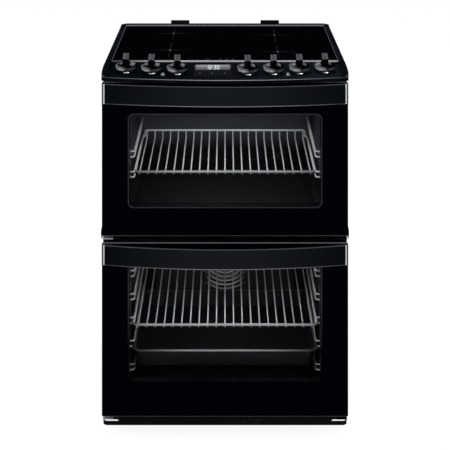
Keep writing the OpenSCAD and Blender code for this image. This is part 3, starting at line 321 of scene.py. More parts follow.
def strip_enamel_painted_shade():
    """Enamel of the hob's frame, with painted shade: darker on the faces that look to the front."""
    material, net, shader = finish_of("strip_enamel_painted_shade", Specular_IOR_Level=0.0)
    # painted shade: the faces that look to the front are painted darker
    normal = net.add("SeparateXYZ", {0: net.add("NewGeometry").outputs["Normal"]}).outputs
    front = net.ramp(net.math("MULTIPLY", normal[1], -1.0), 0.4, 0.6)
    peel = use(net, grain, Scale=350.0)
    tone = net.mix(peel["Cloud"], linear(9, 11, 15), linear(13, 15, 19))
    feed(net, shader, Base_Color=net.mix(front, tone, linear(1, 2, 3)),
         Roughness=net.mix_value(peel["Cloud"], 0.4, 0.48))
    return material


def moulded(name, colour, rough, level=0.3, coarse=1200.0):
    """Moulded plastic with a fine spark-eroded grain."""
    material, net, shader = finish_of(name, Specular_IOR_Level=level)
    skin = use(net, grain, Scale=coarse)
    dusty = use(net, dust, Amount=0.08)
    feed(net, shader, Base_Color=net.mix(dusty["Mask"], colour, linear(80, 82, 86)),
         Roughness=net.mix_value(skin["Height"], rough - 0.05, rough + 0.1))
    bump(net, shader, skin["Height"], 0.00005)
    return material


def galvanised():
    """Zinc-coated sheet: crystal spangle in tone and roughness."""
    material, net, shader = finish_of("galvanised_sheet", Metallic=1.0)
    cells = net.add("TexVoronoi", {"Vector": net.place(), "Scale": 130.0})
    tone = net.add("SeparateColor", {0: cells.outputs["Color"]}).outputs[0]
    feed(net, shader, Base_Color=net.mix(tone, linear(140, 143, 146), linear(172, 175, 178)),
         Roughness=net.mix_value(tone, 0.35, 0.5))
    lines = use(net, brush, Scale=500.0)
    bump(net, shader, lines["Height"], 0.00003)
    return material


def metal(name, colour, rough, scale=700.0, spread=0.12, metallic=1.0, painted_light_tone=None, span=None):
    """Plated or drawn metal with fine lines. Over span, which is an axis and two places along it, its
    colour passes into a second tone, which paints light or shade along that axis."""
    material, net, shader = finish_of(name, Metallic=metallic)
    lines = use(net, brush, Scale=scale)
    dusty = use(net, dust, Amount=0.1)
    darker = tuple(0.75 * c for c in colour[:3]) + (1,)
    tone = net.mix(lines["Streak"], darker, colour)
    # painted light and shade: the colour passes into the second tone along the span
    if span:
        axis, start, end = span
        tone = net.mix(net.ramp(net.axes()[axis], start, end), tone, painted_light_tone)
    feed(net, shader, Base_Color=tone,
         Roughness=net.math("ADD", net.mix_value(lines["Streak"], rough, rough + spread), dusty["Mask"]))
    bump(net, shader, lines["Height"], 0.00003)
    return material


def specked(net, specks, colour, fleck):
    """Colour of enamel with its specks in the fleck colour."""
    return net.mix(net.math("MULTIPLY", specks["Mask"], 0.3), colour, fleck)


def enamel_roughness(net, specks):
    """Satin roughness that follows the enamel's slow ripple."""
    return net.mix_value(specks["Height"], 0.36, 0.46)


def oven_enamel(name, colour, pale, rise, fall=None):
    """Satin vitreous enamel with fine specks and a slow ripple. It is painted paler over the heights of
    rise as painted light, and loses most of that again over the heights of fall."""
    material, net, shader = finish_of(name, Specular_IOR_Level=0.2)
    specks = use(net, speckle, Scale=900.0)
    z = net.axes()[2]
    kept = 0.24
    # painted light: paler over the heights of rise, mostly fading again over fall
    up = net.ramp(z, *rise)
    if fall:
        up = net.math("MULTIPLY", up, net.mix_value(net.ramp(z, *fall), 1.0, kept))
    tone = net.mix(up, colour, pale)
    feed(net, shader, Base_Color=specked(net, specks, tone, linear(120, 124, 130)),
         Roughness=enamel_roughness(net, specks))
    bump(net, shader, specks["Height"], 0.00008)
    return material


def ceramic_hob():
    """Black glass ceramic: printed zone marks, touch marks, pale ground edges at the sides and back, and a
    pale ground front bevel with a painted highlight that brightens towards the right.
    """
    low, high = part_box("hob_glass")
    material, net, shader = finish_of("black_glass_ceramic", Specular_IOR_Level=0.0)
    x, y, z = net.axes()
    marks = None

    def join(mask):
        return mask if marks is None else net.math("MAXIMUM", marks, mask)

    arm_half, arm = 0.0011, 0.060
    middle_half = 0.00175
    link_half, link_pitch, link_dot = 0.0006, 0.004, 0.0012
    for zone_x, zone_y, radius in ZONES:
        dx = net.math("ABSOLUTE", net.math("SUBTRACT", x, zone_x))
        dy = net.math("ABSOLUTE", net.math("SUBTRACT", y, zone_y))
        fade = net.math("SUBTRACT", 1.0, net.ramp(dx, 0.0, arm))
        arms = net.math("MULTIPLY", net.math("LESS_THAN", dy, arm_half), net.math("MULTIPLY", fade, 0.15))
        reach = net.math("MAXIMUM", dx, net.math("MULTIPLY", dy, 0.5))
        marks = join(net.math("MAXIMUM", arms, net.math("LESS_THAN", reach, middle_half)))
        along = net.math("PINGPONG", net.math("SUBTRACT", y, zone_y), link_pitch)
        dots = net.math("MULTIPLY", net.math("LESS_THAN", dx, link_half),
                        net.math("LESS_THAN", along, link_dot))
        link = net.math("MULTIPLY", dots, net.math("LESS_THAN", dy, radius))
        marks = join(net.math("MULTIPLY", link, 0.3))
    touch_y = low.y + 0.014
    touch_inner, touch_outer = 0.0022, 0.0036
    for touch_x in TOUCH_XS:
        dx = net.math("ABSOLUTE", net.math("SUBTRACT", x, touch_x))
        dy = net.math("ABSOLUTE", net.math("SUBTRACT", y, touch_y))
        reach = net.math("ADD", dx, dy)
        ring = net.math("MULTIPLY", net.math("LESS_THAN", reach, touch_outer),
                        net.math("GREATER_THAN", reach, touch_inner))
        marks = join(net.math("MULTIPLY", ring, 0.7))
    on_top = net.math("GREATER_THAN", z, high.z - 0.0004)
    printed = net.math("MULTIPLY", marks, on_top)
    bevel = net.math("SUBTRACT", 1.0, net.ramp(y, low.y + 0.0007, low.y + 0.0009))
    side = net.ramp(net.math("ABSOLUTE", x), high.x - 0.0011, high.x - 0.0008)
    back = net.ramp(y, high.y - 0.0008, high.y - 0.0006)
    ground = net.math("MULTIPLY", net.math("MAXIMUM", side, back), on_top)
    tone = net.mix(net.math("MULTIPLY", printed, 0.55), linear(2, 2, 4), linear(150, 152, 156))
    tone = net.mix(ground, tone, linear(84, 87, 91))
    # painted highlight on the ground front bevel, brighter towards the right
    front_bevel_highlight = net.mix(net.ramp(x, -0.252, -0.200), linear(76, 78, 81), linear(168, 170, 173))
    feed(net, shader, Base_Color=net.mix(bevel, tone, front_bevel_highlight),
         Roughness=net.mix_value(bevel, 0.06, 0.45))
    return material


def handle_band(node):
    """Satin band with painted light: a painted sheen that fades towards its ends, chamfers painted paler as
    highlights, and near each end a bright painted highlight line and paler painted end faces.
    """
    low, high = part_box(node)
    material, net, shader = finish_of(node + "_finish", Specular_IOR_Level=0.03)
    x, _, z = net.axes()
    lines = use(net, brush, Scale=900.0)
    blend = 0.0002
    upper_chamfer, lower_chamfer = 0.0014, 0.0016
    end_highlight_line = (high.x - 0.0064, high.x - 0.0046)
    cap_start = high.x - 0.0036
    # painted highlights: both chamfers are painted paler
    upper = net.ramp(z, high.z - upper_chamfer, high.z - upper_chamfer + blend)
    lower = net.math("SUBTRACT", 1.0, net.ramp(z, low.z + lower_chamfer, low.z + lower_chamfer + blend))
    reach = net.math("ABSOLUTE", x)
    # painted highlight: a bright line near each end, and the end faces painted paler
    end = net.within(reach, *end_highlight_line, 0.0003)
    end_face_highlight = net.ramp(reach, cap_start, cap_start + 2 * blend)
    # painted sheen: the face and the lower chamfer are painted lighter towards the middle
    glow = net.math("SUBTRACT", 1.0, net.ramp(reach, 0.08, high.x - 0.02))
    face = net.mix(glow, linear(0, 2, 4), linear(13, 16, 20))
    tone = net.mix(upper, face, linear(58, 60, 64))
    tone = net.mix(lower, tone, net.mix(glow, linear(66, 68, 72), linear(124, 126, 129)))
    tone = net.mix(end_face_highlight, tone, linear(70, 72, 76))
    feed(net, shader, Base_Color=net.mix(end, tone, linear(206, 209, 213)),
         Roughness=net.mix_value(lines["Streak"], 0.34, 0.44))
    bump(net, shader, lines["Height"], 0.00002)
    return material


def fascia_finish():
    """Dark moulding with painted light: a painted highlight line along its front arris, brightest at the
    middle and faint along its foot, painted shade on its front lip and side cheeks, and a painted sheen that
    grows lighter towards the right.
    """
    low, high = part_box("control_panel")
    material, net, shader = finish_of("fascia_dark", Specular_IOR_Level=0.0)
    x, y, z = net.axes()
    depth = net.math("SUBTRACT", y, PANEL_CENTRE_Y)
    reach = net.math("SQRT", net.math("ADD", net.math("MULTIPLY", x, x), net.math("MULTIPLY", depth, depth)))
    outer = net.ramp(reach, PANEL_RADIUS - 0.0016, PANEL_RADIUS - 0.0013)
    top = net.math("GREATER_THAN", z, LIP_Z - 0.0010)
    foot = net.math("LESS_THAN", z, low.z + 0.0012)
    # painted highlight along the front arris, fainter along the foot
    arris = net.math("MULTIPLY", outer, net.math("MAXIMUM", top, net.math("MULTIPLY", foot, 0.3)))
    lip = net.math("MULTIPLY", outer, net.math("SUBTRACT", 1.0, top))
    cheek = net.ramp(net.math("ABSOLUTE", x), high.x - CHEEK_W, high.x - CHEEK_W + 0.0003)
    skin = use(net, grain, Scale=500.0)
    dusty = use(net, dust, Amount=0.05)
    # painted sheen lighter towards the right, and painted shade on the lip and cheeks
    broad = net.mix(net.ramp(x, -0.1, 0.25), linear(6, 9, 12), linear(17, 20, 25))
    broad = net.mix(net.math("MAXIMUM", lip, cheek), broad, linear(6, 8, 11))
    tone = net.mix(dusty["Mask"], broad, linear(50, 54, 60))
    # the arris highlight is painted brightest at the middle
    edge = net.mix(net.ramp(net.math("ABSOLUTE", x), 0.05, 0.3), linear(126, 128, 132), linear(48, 50, 54))
    feed(net, shader, Base_Color=net.mix(arris, tone, edge),
         Roughness=net.mix_value(skin["Cloud"], 0.3, 0.38))
    bump(net, shader, skin["Height"], 0.00002)
    return material


def display_finish():
    """Tinted window: a paler readout band whose painted light brightens towards the back, and a dark strip
    round it.
    """
    material, net, shader = finish_of("display_tint", Specular_IOR_Level=0.0)
    x, y, _ = net.axes()
    band = net.math("MULTIPLY", net.within(x, READOUT_X[0], READOUT_X[1], 0.003),
                    net.within(y, READOUT_Y[0], READOUT_Y[1], 0.0008))
    near = net.ramp(y, DISPLAY_KEYS_Y, DISPLAY_KEYS_Y + 0.003)
    beside = net.ramp(y, READOUT_Y[0] - 0.003, READOUT_Y[0])
    tone = net.mix(near, linear(6, 7, 9), linear(16, 18, 20))
    tone = net.mix(beside, tone, linear(3, 4, 6))
    # painted light: the readout band brightens towards the back
    shade = net.mix(net.ramp(y, READOUT_Y[0], READOUT_Y[1]), linear(52, 54, 57), linear(124, 126, 130))
    tone = net.mix(band, tone, shade)
    skin = use(net, grain, Scale=700.0)
    feed(net, shader, Base_Color=tone, Roughness=net.mix_value(skin["Height"], 0.14, 0.2))
    return material


def knob_metal(node):
    """Satin knob with painted light. The grip's top face is brushed metal painted pale as lit from
    above, its front and sides are painted black as shade, and painted shade runs down the middle of
    its top; the dish round it is black with painted highlights as crescents beside the grip and on
    the rim's left, and the skirt's flank is a smoky metal with a painted highlight, palest at its left.
    In the knob's own axes t runs to the right and v to the back, and h is the height over the fascia's
    slope."""
    low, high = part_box(node)
    material, net, shader = finish_of(node + "_satin", Specular_IOR_Level=0.0)
    x, y, z = net.axes()
    turn = math.atan2((low.x + high.x) / 2, PANEL_RADIUS - KNOB_U)
    dx = net.math("SUBTRACT", x, (PANEL_RADIUS - KNOB_U) * math.sin(turn))
    dy = net.math("SUBTRACT", y, PANEL_CENTRE_Y - (PANEL_RADIUS - KNOB_U) * math.cos(turn))
    cosine, sine = math.cos(turn), math.sin(turn)
    t = net.math("ADD", net.math("MULTIPLY", dx, cosine), net.math("MULTIPLY", dy, sine))
    v = net.math("SUBTRACT", net.math("MULTIPLY", dy, cosine), net.math("MULTIPLY", dx, sine))
    slope = KNEE_RISE / KNEE_U
    h = net.math("SUBTRACT", z, net.math("MULTIPLY_ADD", v, slope, LIP_Z + KNOB_U * slope))
    aside = net.math("ABSOLUTE", t)
    grip_top = net.math("MULTIPLY_ADD", net.math("ADD", v, KNOB_GRIP_HALF), KNOB_GRIP_SLOPE, KNOB_GRIP_Z)
    # painted light: the grip's top is painted as lit metal, its front and sides black as shade
    top = net.math("MULTIPLY", net.ramp(net.math("SUBTRACT", h, grip_top), -0.0016, -0.0011),
                   net.ramp(v, KNOB_FACE_START, KNOB_FACE_START + 0.001))
    # painted shade down the middle of the grip's top
    groove_shade = net.math("SUBTRACT", 1.0, net.ramp(aside, 0.0006, 0.0026))
    flank_foot, flank_top = 0.0082, KNOB_RIM_Z - 0.0018
    flank = net.within(h, flank_foot, flank_top, 0.0014)
    rim = net.within(h, KNOB_RIM_Z + 0.0002, KNOB_RIM_Z + 0.0014, 0.0002)
    crescent_in, crescent_out = 0.0076, 0.0172
    # painted highlights: crescents beside the grip
    beside = net.math("MULTIPLY", net.within(aside, crescent_in, crescent_out, 0.0015),
                      net.ramp(v, -0.014, -0.004))
    above = net.ramp(h, KNOB_RIM_Z + 0.004, KNOB_RIM_Z + 0.006)
    beside = net.math("MULTIPLY", beside, net.math("SUBTRACT", 1.0, above))
    left = net.ramp(t, 0.002, -0.009)
    right = net.ramp(t, 0.006, 0.014)
    lines = use(net, brush, Scale=1400.0)
    dusty = use(net, dust, Amount=0.1)
    dark = net.mix(beside, linear(3, 3, 4), linear(104, 106, 110))
    # painted highlight on the rim's left
    dark = net.mix(net.math("MULTIPLY", rim, left), dark, linear(86, 88, 92))
    face = net.mix(lines["Streak"], linear(46, 48, 50), linear(66, 68, 71))
    face = net.mix(net.math("MULTIPLY", groove_shade, 0.5), face, linear(20, 21, 23))
    # painted highlight on the skirt's flank, palest at its left
    skirt = net.mix(left, net.mix(right, linear(60, 62, 65), linear(82, 85, 89)), linear(190, 193, 198))
    feed(net, shader, Base_Color=net.mix(top, net.mix(flank, dark, skirt), face),
         Metallic=net.math("MULTIPLY", net.math("MAXIMUM", top, flank), 0.25),
         Roughness=net.math("ADD", net.mix_value(lines["Streak"], 0.38, 0.44), dusty["Mask"]))
    bump(net, shader, net.math("MULTIPLY", lines["Height"], top), 0.00003)
    return material


def collar_chrome():
    """Plated collar with a painted reflection: bright where it faces the front and a little to the right,
    and painted dark elsewhere.
    """
    material, net, shader = finish_of("collar_chrome", Metallic=0.9)
    normal = net.add("SeparateXYZ", {0: net.add("NewGeometry").outputs["Normal"]}).outputs
    front = net.math("SUBTRACT", net.math("MULTIPLY", normal[0], 0.2), normal[1])
    # painted reflection, set by the way the surface faces
    painted_reflection = net.ramp(front, 0.86, 0.98)
    lines = use(net, brush, Scale=900.0)
    feed(net, shader, Base_Color=net.mix(painted_reflection, linear(30, 31, 33), linear(232, 234, 237)),
         Roughness=net.mix_value(lines["Streak"], 0.26, 0.36))
    return material


def hinge_plate(name, dull, pale):
    """Hinge parts in zinc plate, with painted shade: the right-hand ones are painted black and matt."""
    material, net, shader = finish_of(name)
    x = net.axes()[0]
    lines = use(net, brush, Scale=700.0)
    tone = net.mix(lines["Streak"], dull, pale)
    # painted shade: the right-hand parts are painted black and matt
    right = net.ramp(x, -0.05, 0.05)
    feed(net, shader, Base_Color=net.mix(right, tone, linear(10, 11, 13)),
         Metallic=net.mix_value(right, 0.8, 0.0), Specular_IOR_Level=net.mix_value(right, 0.5, 0.0),
         Roughness=net.mix_value(lines["Streak"], 0.4, 0.55))
    bump(net, shader, lines["Height"], 0.00003)
    return material


def oven_wire(name, colour, painted_light_tone, span):
    """Plated wire whose colour passes into a second tone over a span of its depth, as painted light or
    shade.
    """
    return metal(name, colour, 0.42, 900.0, 0.1, 0.25, painted_light_tone, span)


def tray_finish():
    """Dark enamelled tray with its rim painted paler as a highlight, brightest at the middle of its front.
    """
    low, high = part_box("baking_tray")
    material, net, shader = finish_of("tray_enamel", Specular_IOR_Level=0.2)
    x, y, z = net.axes()
    # painted highlight along the rim, brightest at the middle of its front
    rim = net.ramp(z, high.z - 0.0016, high.z - 0.0010)
    front = net.math("SUBTRACT", 1.0, net.ramp(y, low.y + 0.004, low.y + 0.010))
    inner = net.math("SUBTRACT", 1.0, net.ramp(net.math("ABSOLUTE", x), 0.08, high.x))
    front = net.math("MULTIPLY", front, inner)
    specks = use(net, speckle, Scale=900.0)
    tone = specked(net, specks, linear(11, 13, 16), linear(70, 74, 78))
    edge = net.mix(front, linear(44, 46, 49), linear(150, 153, 157))
    feed(net, shader, Base_Color=net.mix(rim, tone, edge), Roughness=enamel_roughness(net, specks))
    bump(net, shader, specks["Height"], 0.00008)
    return material


def fan_cover_finish():
    """The cavity's enamel, with painted light making the slotted rings pale below the fan's middle."""
    material, net, shader = finish_of("fan_cover_enamel", Specular_IOR_Level=0.2)
    x, _, z = net.axes()
    dz = net.math("SUBTRACT", z, FAN_Z)
    reach = net.math("SQRT", net.math("ADD", net.math("MULTIPLY", x, x), net.math("MULTIPLY", dz, dz)))
    arcs = net.math("LESS_THAN", net.math("PINGPONG", net.math("SUBTRACT", reach, FAN_RING_R),
                                          FAN_RING_PITCH / 2), 0.0019)
    # painted light on the slotted rings below the fan's middle, fading to the sides
    lit = net.math("MULTIPLY", net.within(reach, FAN_PAINTED_LIGHT[0], FAN_PAINTED_LIGHT[1], 0.004), net.ramp(dz, 0.0, -0.03))
    aside = net.ramp(net.math("ABSOLUTE", x), 0.030, 0.055)
    lit = net.math("MULTIPLY", lit, net.math("SUBTRACT", 1.0, aside))
    lit = net.math("MULTIPLY", lit, net.mix_value(arcs, 0.1, 1.0))
    specks = use(net, speckle, Scale=900.0)
    tone = specked(net, specks, linear(44, 47, 51), linear(120, 124, 130))
    feed(net, shader, Base_Color=net.mix(lit, tone, linear(238, 240, 242)),
         Roughness=enamel_roughness(net, specks))
    return material


def door_pane(node, window, fade):
    """Tinted pane: see-through in the window, black print round it, pale ground edges."""
    low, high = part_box(node)
    material, net, shader = finish_of(node + "_tint", Specular_IOR_Level=0.004)
    _, y, z = net.axes()
    middle, half_h = (window[0] + window[1]) / 2, (window[1] - window[0]) / 2
    seen = use(net, pane, Half_Width=WINDOW_HALF_W, Half_Height=half_h, Middle=middle, Radius=WINDOW_RADIUS)
    outer = use(net, pane, Half_Width=WINDOW_HALF_W + OUTLINE, Half_Height=half_h + OUTLINE, Middle=middle,
                Radius=WINDOW_RADIUS + OUTLINE)
    front = net.math("LESS_THAN", y, low.y + 0.0006)
    edge = net.math("SUBTRACT", 1.0, net.within(z, low.z + GROUND_EDGE, high.z - GROUND_EDGE, 0.0001))
    ring = net.math("SUBTRACT", outer["Mask"], seen["Mask"])
    ring = net.math("MULTIPLY", ring, net.ramp(z, *fade))
    tone = net.mix(ring, linear(0, 1, 4), linear(42, 44, 48))
    tone = net.mix(edge, tone, linear(92, 94, 97))
    feed(net, shader, Base_Color=tone, Roughness=net.mix_value(front, 0.12, 0.05),
         Alpha=net.mix_value(seen["Mask"], 1.0, 0.03))
    return material


def inner_pane(node):
    """Clear heat-reflecting pane with a dark printed border."""
    low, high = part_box(node)
    material, net, shader = finish_of(node + "_clear", Specular_IOR_Level=0.02, Roughness=0.04)
    seen = use(net, pane, Half_Width=WINDOW_HALF_W - 0.001, Half_Height=(high.z - low.z) / 2 - PANE_LAP,
               Middle=(high.z + low.z) / 2, Radius=WINDOW_RADIUS)
    feed(net, shader, Base_Color=net.mix(seen["Mask"], linear(8, 9, 11), linear(30, 34, 36)),
         Alpha=net.mix_value(seen["Mask"], 1.0, 0.02))
    return material


def mineral_wool():
    """Pale wool in streaks drawn out along X."""
    material, net, shader = finish_of("mineral_wool", Specular_IOR_Level=0.1)
    lines = use(net, brush, Scale=220.0)
    skin = use(net, grain, Scale=150.0)
    feed(net, shader, Base_Color=net.mix(lines["Streak"], linear(176, 168, 140), linear(222, 215, 192)),
         Roughness=net.mix_value(skin["Height"], 0.85, 0.98))
    bump(net, shader, skin["Height"], 0.002)
    return material


def lamp_lens():
    """Frosted lens of the oven lamps and the pilot lamps."""
    material, net, shader = finish_of("lamp_lens", Specular_IOR_Level=0.5)
    skin = use(net, grain, Scale=400.0)
    feed(net, shader, Base_Color=net.mix(skin["Cloud"], linear(84, 86, 89), linear(112, 114, 117)),
         Roughness=net.mix_value(skin["Height"], 0.18, 0.3))
    bump(net, shader, skin["Height"], 0.0001)
    return material


def readout_glow():
    """Softly lit bars of the readout."""
    material, net, shader = finish_of("readout_glow", Roughness=0.5, Specular_IOR_Level=0.0,
                                      Emission_Strength=0.35)
    skin = use(net, grain, Scale=2500.0)
    tone = net.mix(skin["Height"], linear(186, 190, 196), linear(210, 213, 217))
    feed(net, shader, Base_Color=tone, Emission_Color=tone)
    return material


# ---------- New pieces ----------

def mesh_piece(name, points, faces, body, material, smooth=True):
    """Puts a points array and a list of faces into one object that rides a body."""
    mesh = bpy.data.meshes.new(name)
    mesh.from_pydata(points.tolist(), [], faces)
    mesh.polygons.foreach_set("use_smooth", [smooth] * len(mesh.polygons))
    mesh.materials.append(material)
    mesh.update()
    piece = bpy.data.objects.new(name, mesh)
    bpy.context.scene.collection.objects.link(piece)
    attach(piece, body)
    return piece


def grid_faces(rows, columns, closed_rows=False, closed_columns=False):
    """Quads of a grid of rows by columns, joined round where it closes."""
    i, j = np.meshgrid(np.arange(rows - (not closed_rows)), np.arange(columns - (not closed_columns)),
                       indexing="ij")
    i2, j2 = (i + 1) % rows, (j + 1) % columns
    corners = [i * columns + j, i * columns + j2, i2 * columns + j2, i2 * columns + j]
    return np.stack(corners, -1).reshape(-1, 4)


def ring_path(half_w, half_h, radius, middle_z, per_corner=10):
    """Rounded rectangle in X and Z: four quarter circles, with the outward direction at each point."""
    angle = (np.arange(4)[:, None] * TAU / 4 + np.linspace(0, TAU / 4, per_corner)[None]).ravel()
    corner = np.repeat(np.arange(4), per_corner)
    side_x = np.where((corner == 0) | (corner == 3), 1, -1)
    side_z = np.where(corner < 2, 1, -1)
    level = np.zeros_like(angle)
    outward = np.stack([np.cos(angle), level, np.sin(angle)], -1)
    centre = np.stack([side_x * (half_w - radius), level, side_z * (half_h - radius) + middle_z], -1)
    return centre + radius * outward, outward


def bulb_seal(name, low, high, radius, body_y, material):
    """Seal bulb: a half ellipse lying on the oven's flange, carried round the mouth."""
    width = SEAL_WIDTH / 2
    deep = high.y - low.y
    path, outward = ring_path((high.x - low.x) / 2 - width, (high.z - low.z) / 2 - width, radius,
                              (low.z + high.z) / 2)
    turn = np.linspace(0, TAU / 2, 13)
    across = np.concatenate([width * np.cos(turn), [-0.7 * width, 0.7 * width]])
    along = np.concatenate([-deep * np.sin(turn), [0.0, 0.0]])
    points = (path[:, None] + across[None, :, None] * outward[:, None])
    points[..., 1] = body_y + along[None]
    rows, columns = points.shape[:2]
    faces = grid_faces(rows, columns, True, True).tolist()
    return mesh_piece(name, points.reshape(-1, 3), faces, "cooker", material)


def digit_bars(text):
    """Rectangles, as x, y, width, height in cells, of seven-bar digits; a colon is two squares."""
    bars = {"0": "abcdef", "1": "bc", "2": "abged", "3": "abgcd"}
    shapes = {"a": (0, 2, 1, 0), "b": (1, 1, 0, 1), "c": (1, 0, 0, 1), "d": (0, 0, 1, 0), "e": (0, 0, 0, 1),
              "f": (0, 1, 0, 1), "g": (0, 1, 1, 0)}
    found, pen = [], 0.0
    for letter in text:
        if letter == ":":
            found += [(pen, 0.5, 0, 0), (pen, 1.5, 0, 0)]
            pen += 0.7
            continue
        found += [(pen + shapes[b][0], shapes[b][1], shapes[b][2], shapes[b][3]) for b in bars[letter]]
        pen += 1.7
    return np.array(found, float), pen - 0.7


def readout(material):
    """Bars of the clock's figures lying just over the tinted window."""
    bars, length = digit_bars("12:30")
    cell = np.array([DIGITS_WIDTH / length, DIGIT_HEIGHT / 2])
    half = 0.11
    low = bars[:, :2] - half
    high = bars[:, :2] + bars[:, 2:] + half
    low_right = np.stack([high[:, 0], low[:, 1]], -1)
    high_left = np.stack([low[:, 0], high[:, 1]], -1)
    flat = np.stack([low, low_right, high, high_left], 1) * cell
    flat[..., 0] += DIGIT_X - DIGITS_WIDTH / 2
    flat[..., 1] += (READOUT_Y[0] + READOUT_Y[1] - DIGIT_HEIGHT) / 2
    top = panel_height(flat[..., 0], flat[..., 1]) + 0.0002
    points = np.concatenate([flat, top[..., None]], -1)
    under = points - np.array([0, 0, 0.00015])
    both = np.concatenate([points, under], 1).reshape(-1, 3)
    quad = np.array([[0, 1, 2, 3], [7, 6, 5, 4], [0, 4, 5, 1], [1, 5, 6, 2], [2, 6, 7, 3], [3, 7, 4, 0]])
    faces = (np.arange(len(bars))[:, None, None] * 8 + quad[None]).reshape(-1, 4).tolist()
    return mesh_piece("clock_readout", both, faces, "cooker", material, smooth=False)


def panel_height(x, y):
    """Height of the fascia's sloping top: two straight slopes by the distance from its bow."""
    reach = PANEL_RADIUS - np.sqrt(x * x + (y - PANEL_CENTRE_Y) ** 2)
    return np.where(reach < KNEE_U, LIP_Z + reach * KNEE_RISE / KNEE_U,
                    KNEE_Z + (reach - KNEE_U) * (PANEL_BACK_Z - KNEE_Z) / (PANEL_DEPTH - KNEE_U))


def rear_trim(material):
    """Raised strip behind the hob glass. Along x its back edge follows a straight line that turns by
    a quarter circle at each corner; its section is a slab with a rounded top."""
    half_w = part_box("hob_frame")[1].x - TRIM_SIDE
    span = 40
    side = np.linspace(0, TAU / 4, span // 4)
    xs = np.concatenate([-half_w + TRIM_CORNER * (1 - np.sin(TAU / 4 - side)),
                         np.linspace(-half_w + TRIM_CORNER, half_w - TRIM_CORNER, span)[1:-1],
                         half_w - TRIM_CORNER * (1 - np.sin(side))])
    inset = np.maximum(abs(xs) - (half_w - TRIM_CORNER), 0)
    back = TRIM_BACK - TRIM_CORNER + np.sqrt(np.maximum(TRIM_CORNER ** 2 - inset ** 2, 0))
    turn = np.linspace(0, TAU / 4, 5)
    edge = TRIM_EDGE
    top = TRIM_TOP - edge + edge * np.sin(turn)
    front_y = TRIM_FRONT + edge - edge * np.cos(turn)
    ys = np.concatenate([np.broadcast_to(front_y, (len(xs), 5)),
                         back[:, None] - edge + edge * np.cos(turn[::-1])[None]], 1)
    zs = np.broadcast_to(np.concatenate([top, top[::-1]]), ys.shape)
    foot = np.full((len(xs), 1), TRIM_FOOT)
    ys = np.concatenate([np.full((len(xs), 1), TRIM_FRONT), ys, back[:, None]], 1)
    zs = np.concatenate([foot, zs, foot], 1)
    points = np.stack([np.broadcast_to(xs[:, None], ys.shape), ys, zs], -1)
    rows, columns = ys.shape
    faces = grid_faces(rows, columns, False, True).tolist()
    faces += [list(range(columns)), list(range(rows * columns - 1, (rows - 1) * columns - 1, -1))]
    return mesh_piece("hob_rear_trim", points.reshape(-1, 3), faces, "cooker", material,
                      smooth=False)


def trim_finish():
    """Black enamel with a pale line along its front edge, as wide as the glass."""
    material, net, shader = finish_of("trim_enamel", Specular_IOR_Level=0.0)
    x, y, _ = net.axes()
    skin = use(net, grain, Scale=500.0)
    pale = net.math("SUBTRACT", 1.0, net.ramp(y, TRIM_FRONT + 0.0012, TRIM_FRONT + 0.0032))
    glass_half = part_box("hob_glass")[1].x
    beyond = net.ramp(net.math("ABSOLUTE", x), glass_half - 0.002, glass_half + 0.003)
    pale = net.math("MULTIPLY", pale, net.math("SUBTRACT", 1.0, beyond))
    dark = net.mix(skin["Cloud"], linear(5, 6, 9), linear(9, 10, 13))
    feed(net, shader, Base_Color=net.mix(pale, dark, linear(104, 107, 111)),
         Roughness=net.mix_value(skin["Height"], 0.35, 0.45))
    return material


def screw_heads(name, places, normal, radius, body, material):
    """Domed heads with a cross slot: height falls as a circle's arc, and dips along the two slots."""
    normal = np.array(normal, float)
    side = np.array([1.0, 0, 0]) if abs(normal[0]) < 0.5 else np.array([0, 1.0, 0])
    other = np.cross(normal, side)
    turn = np.arange(24) * TAU / 24
    steps = np.array([0.0, 0.2, 0.45, 0.7, 0.9, 1.0, 1.0])
    dome = radius * 0.45 * np.sqrt(np.clip(1 - 0.85 * steps ** 2, 0, 1))
    dome[-1] = -0.0002
    u = steps[:, None] * np.cos(turn)[None] * radius
    v = steps[:, None] * np.sin(turn)[None] * radius
    in_slot = (np.minimum(abs(u), abs(v)) < 0.14 * radius) & (np.hypot(u, v) < 0.6 * radius)
    rise = dome[:, None] - 0.3 * radius * in_slot
    one = u[..., None] * side + v[..., None] * other + rise[..., None] * normal
    rows, columns = one.shape[:2]
    points = (np.array(places, float)[:, None, None] + one[None]).reshape(-1, 3)
    quads = grid_faces(rows, columns, False, True)
    faces = (np.arange(len(places))[:, None, None] * rows * columns + quads[None]).reshape(-1, 4).tolist()
    return mesh_piece(name, points, faces, body, material)


# ---------- Dressing ----------

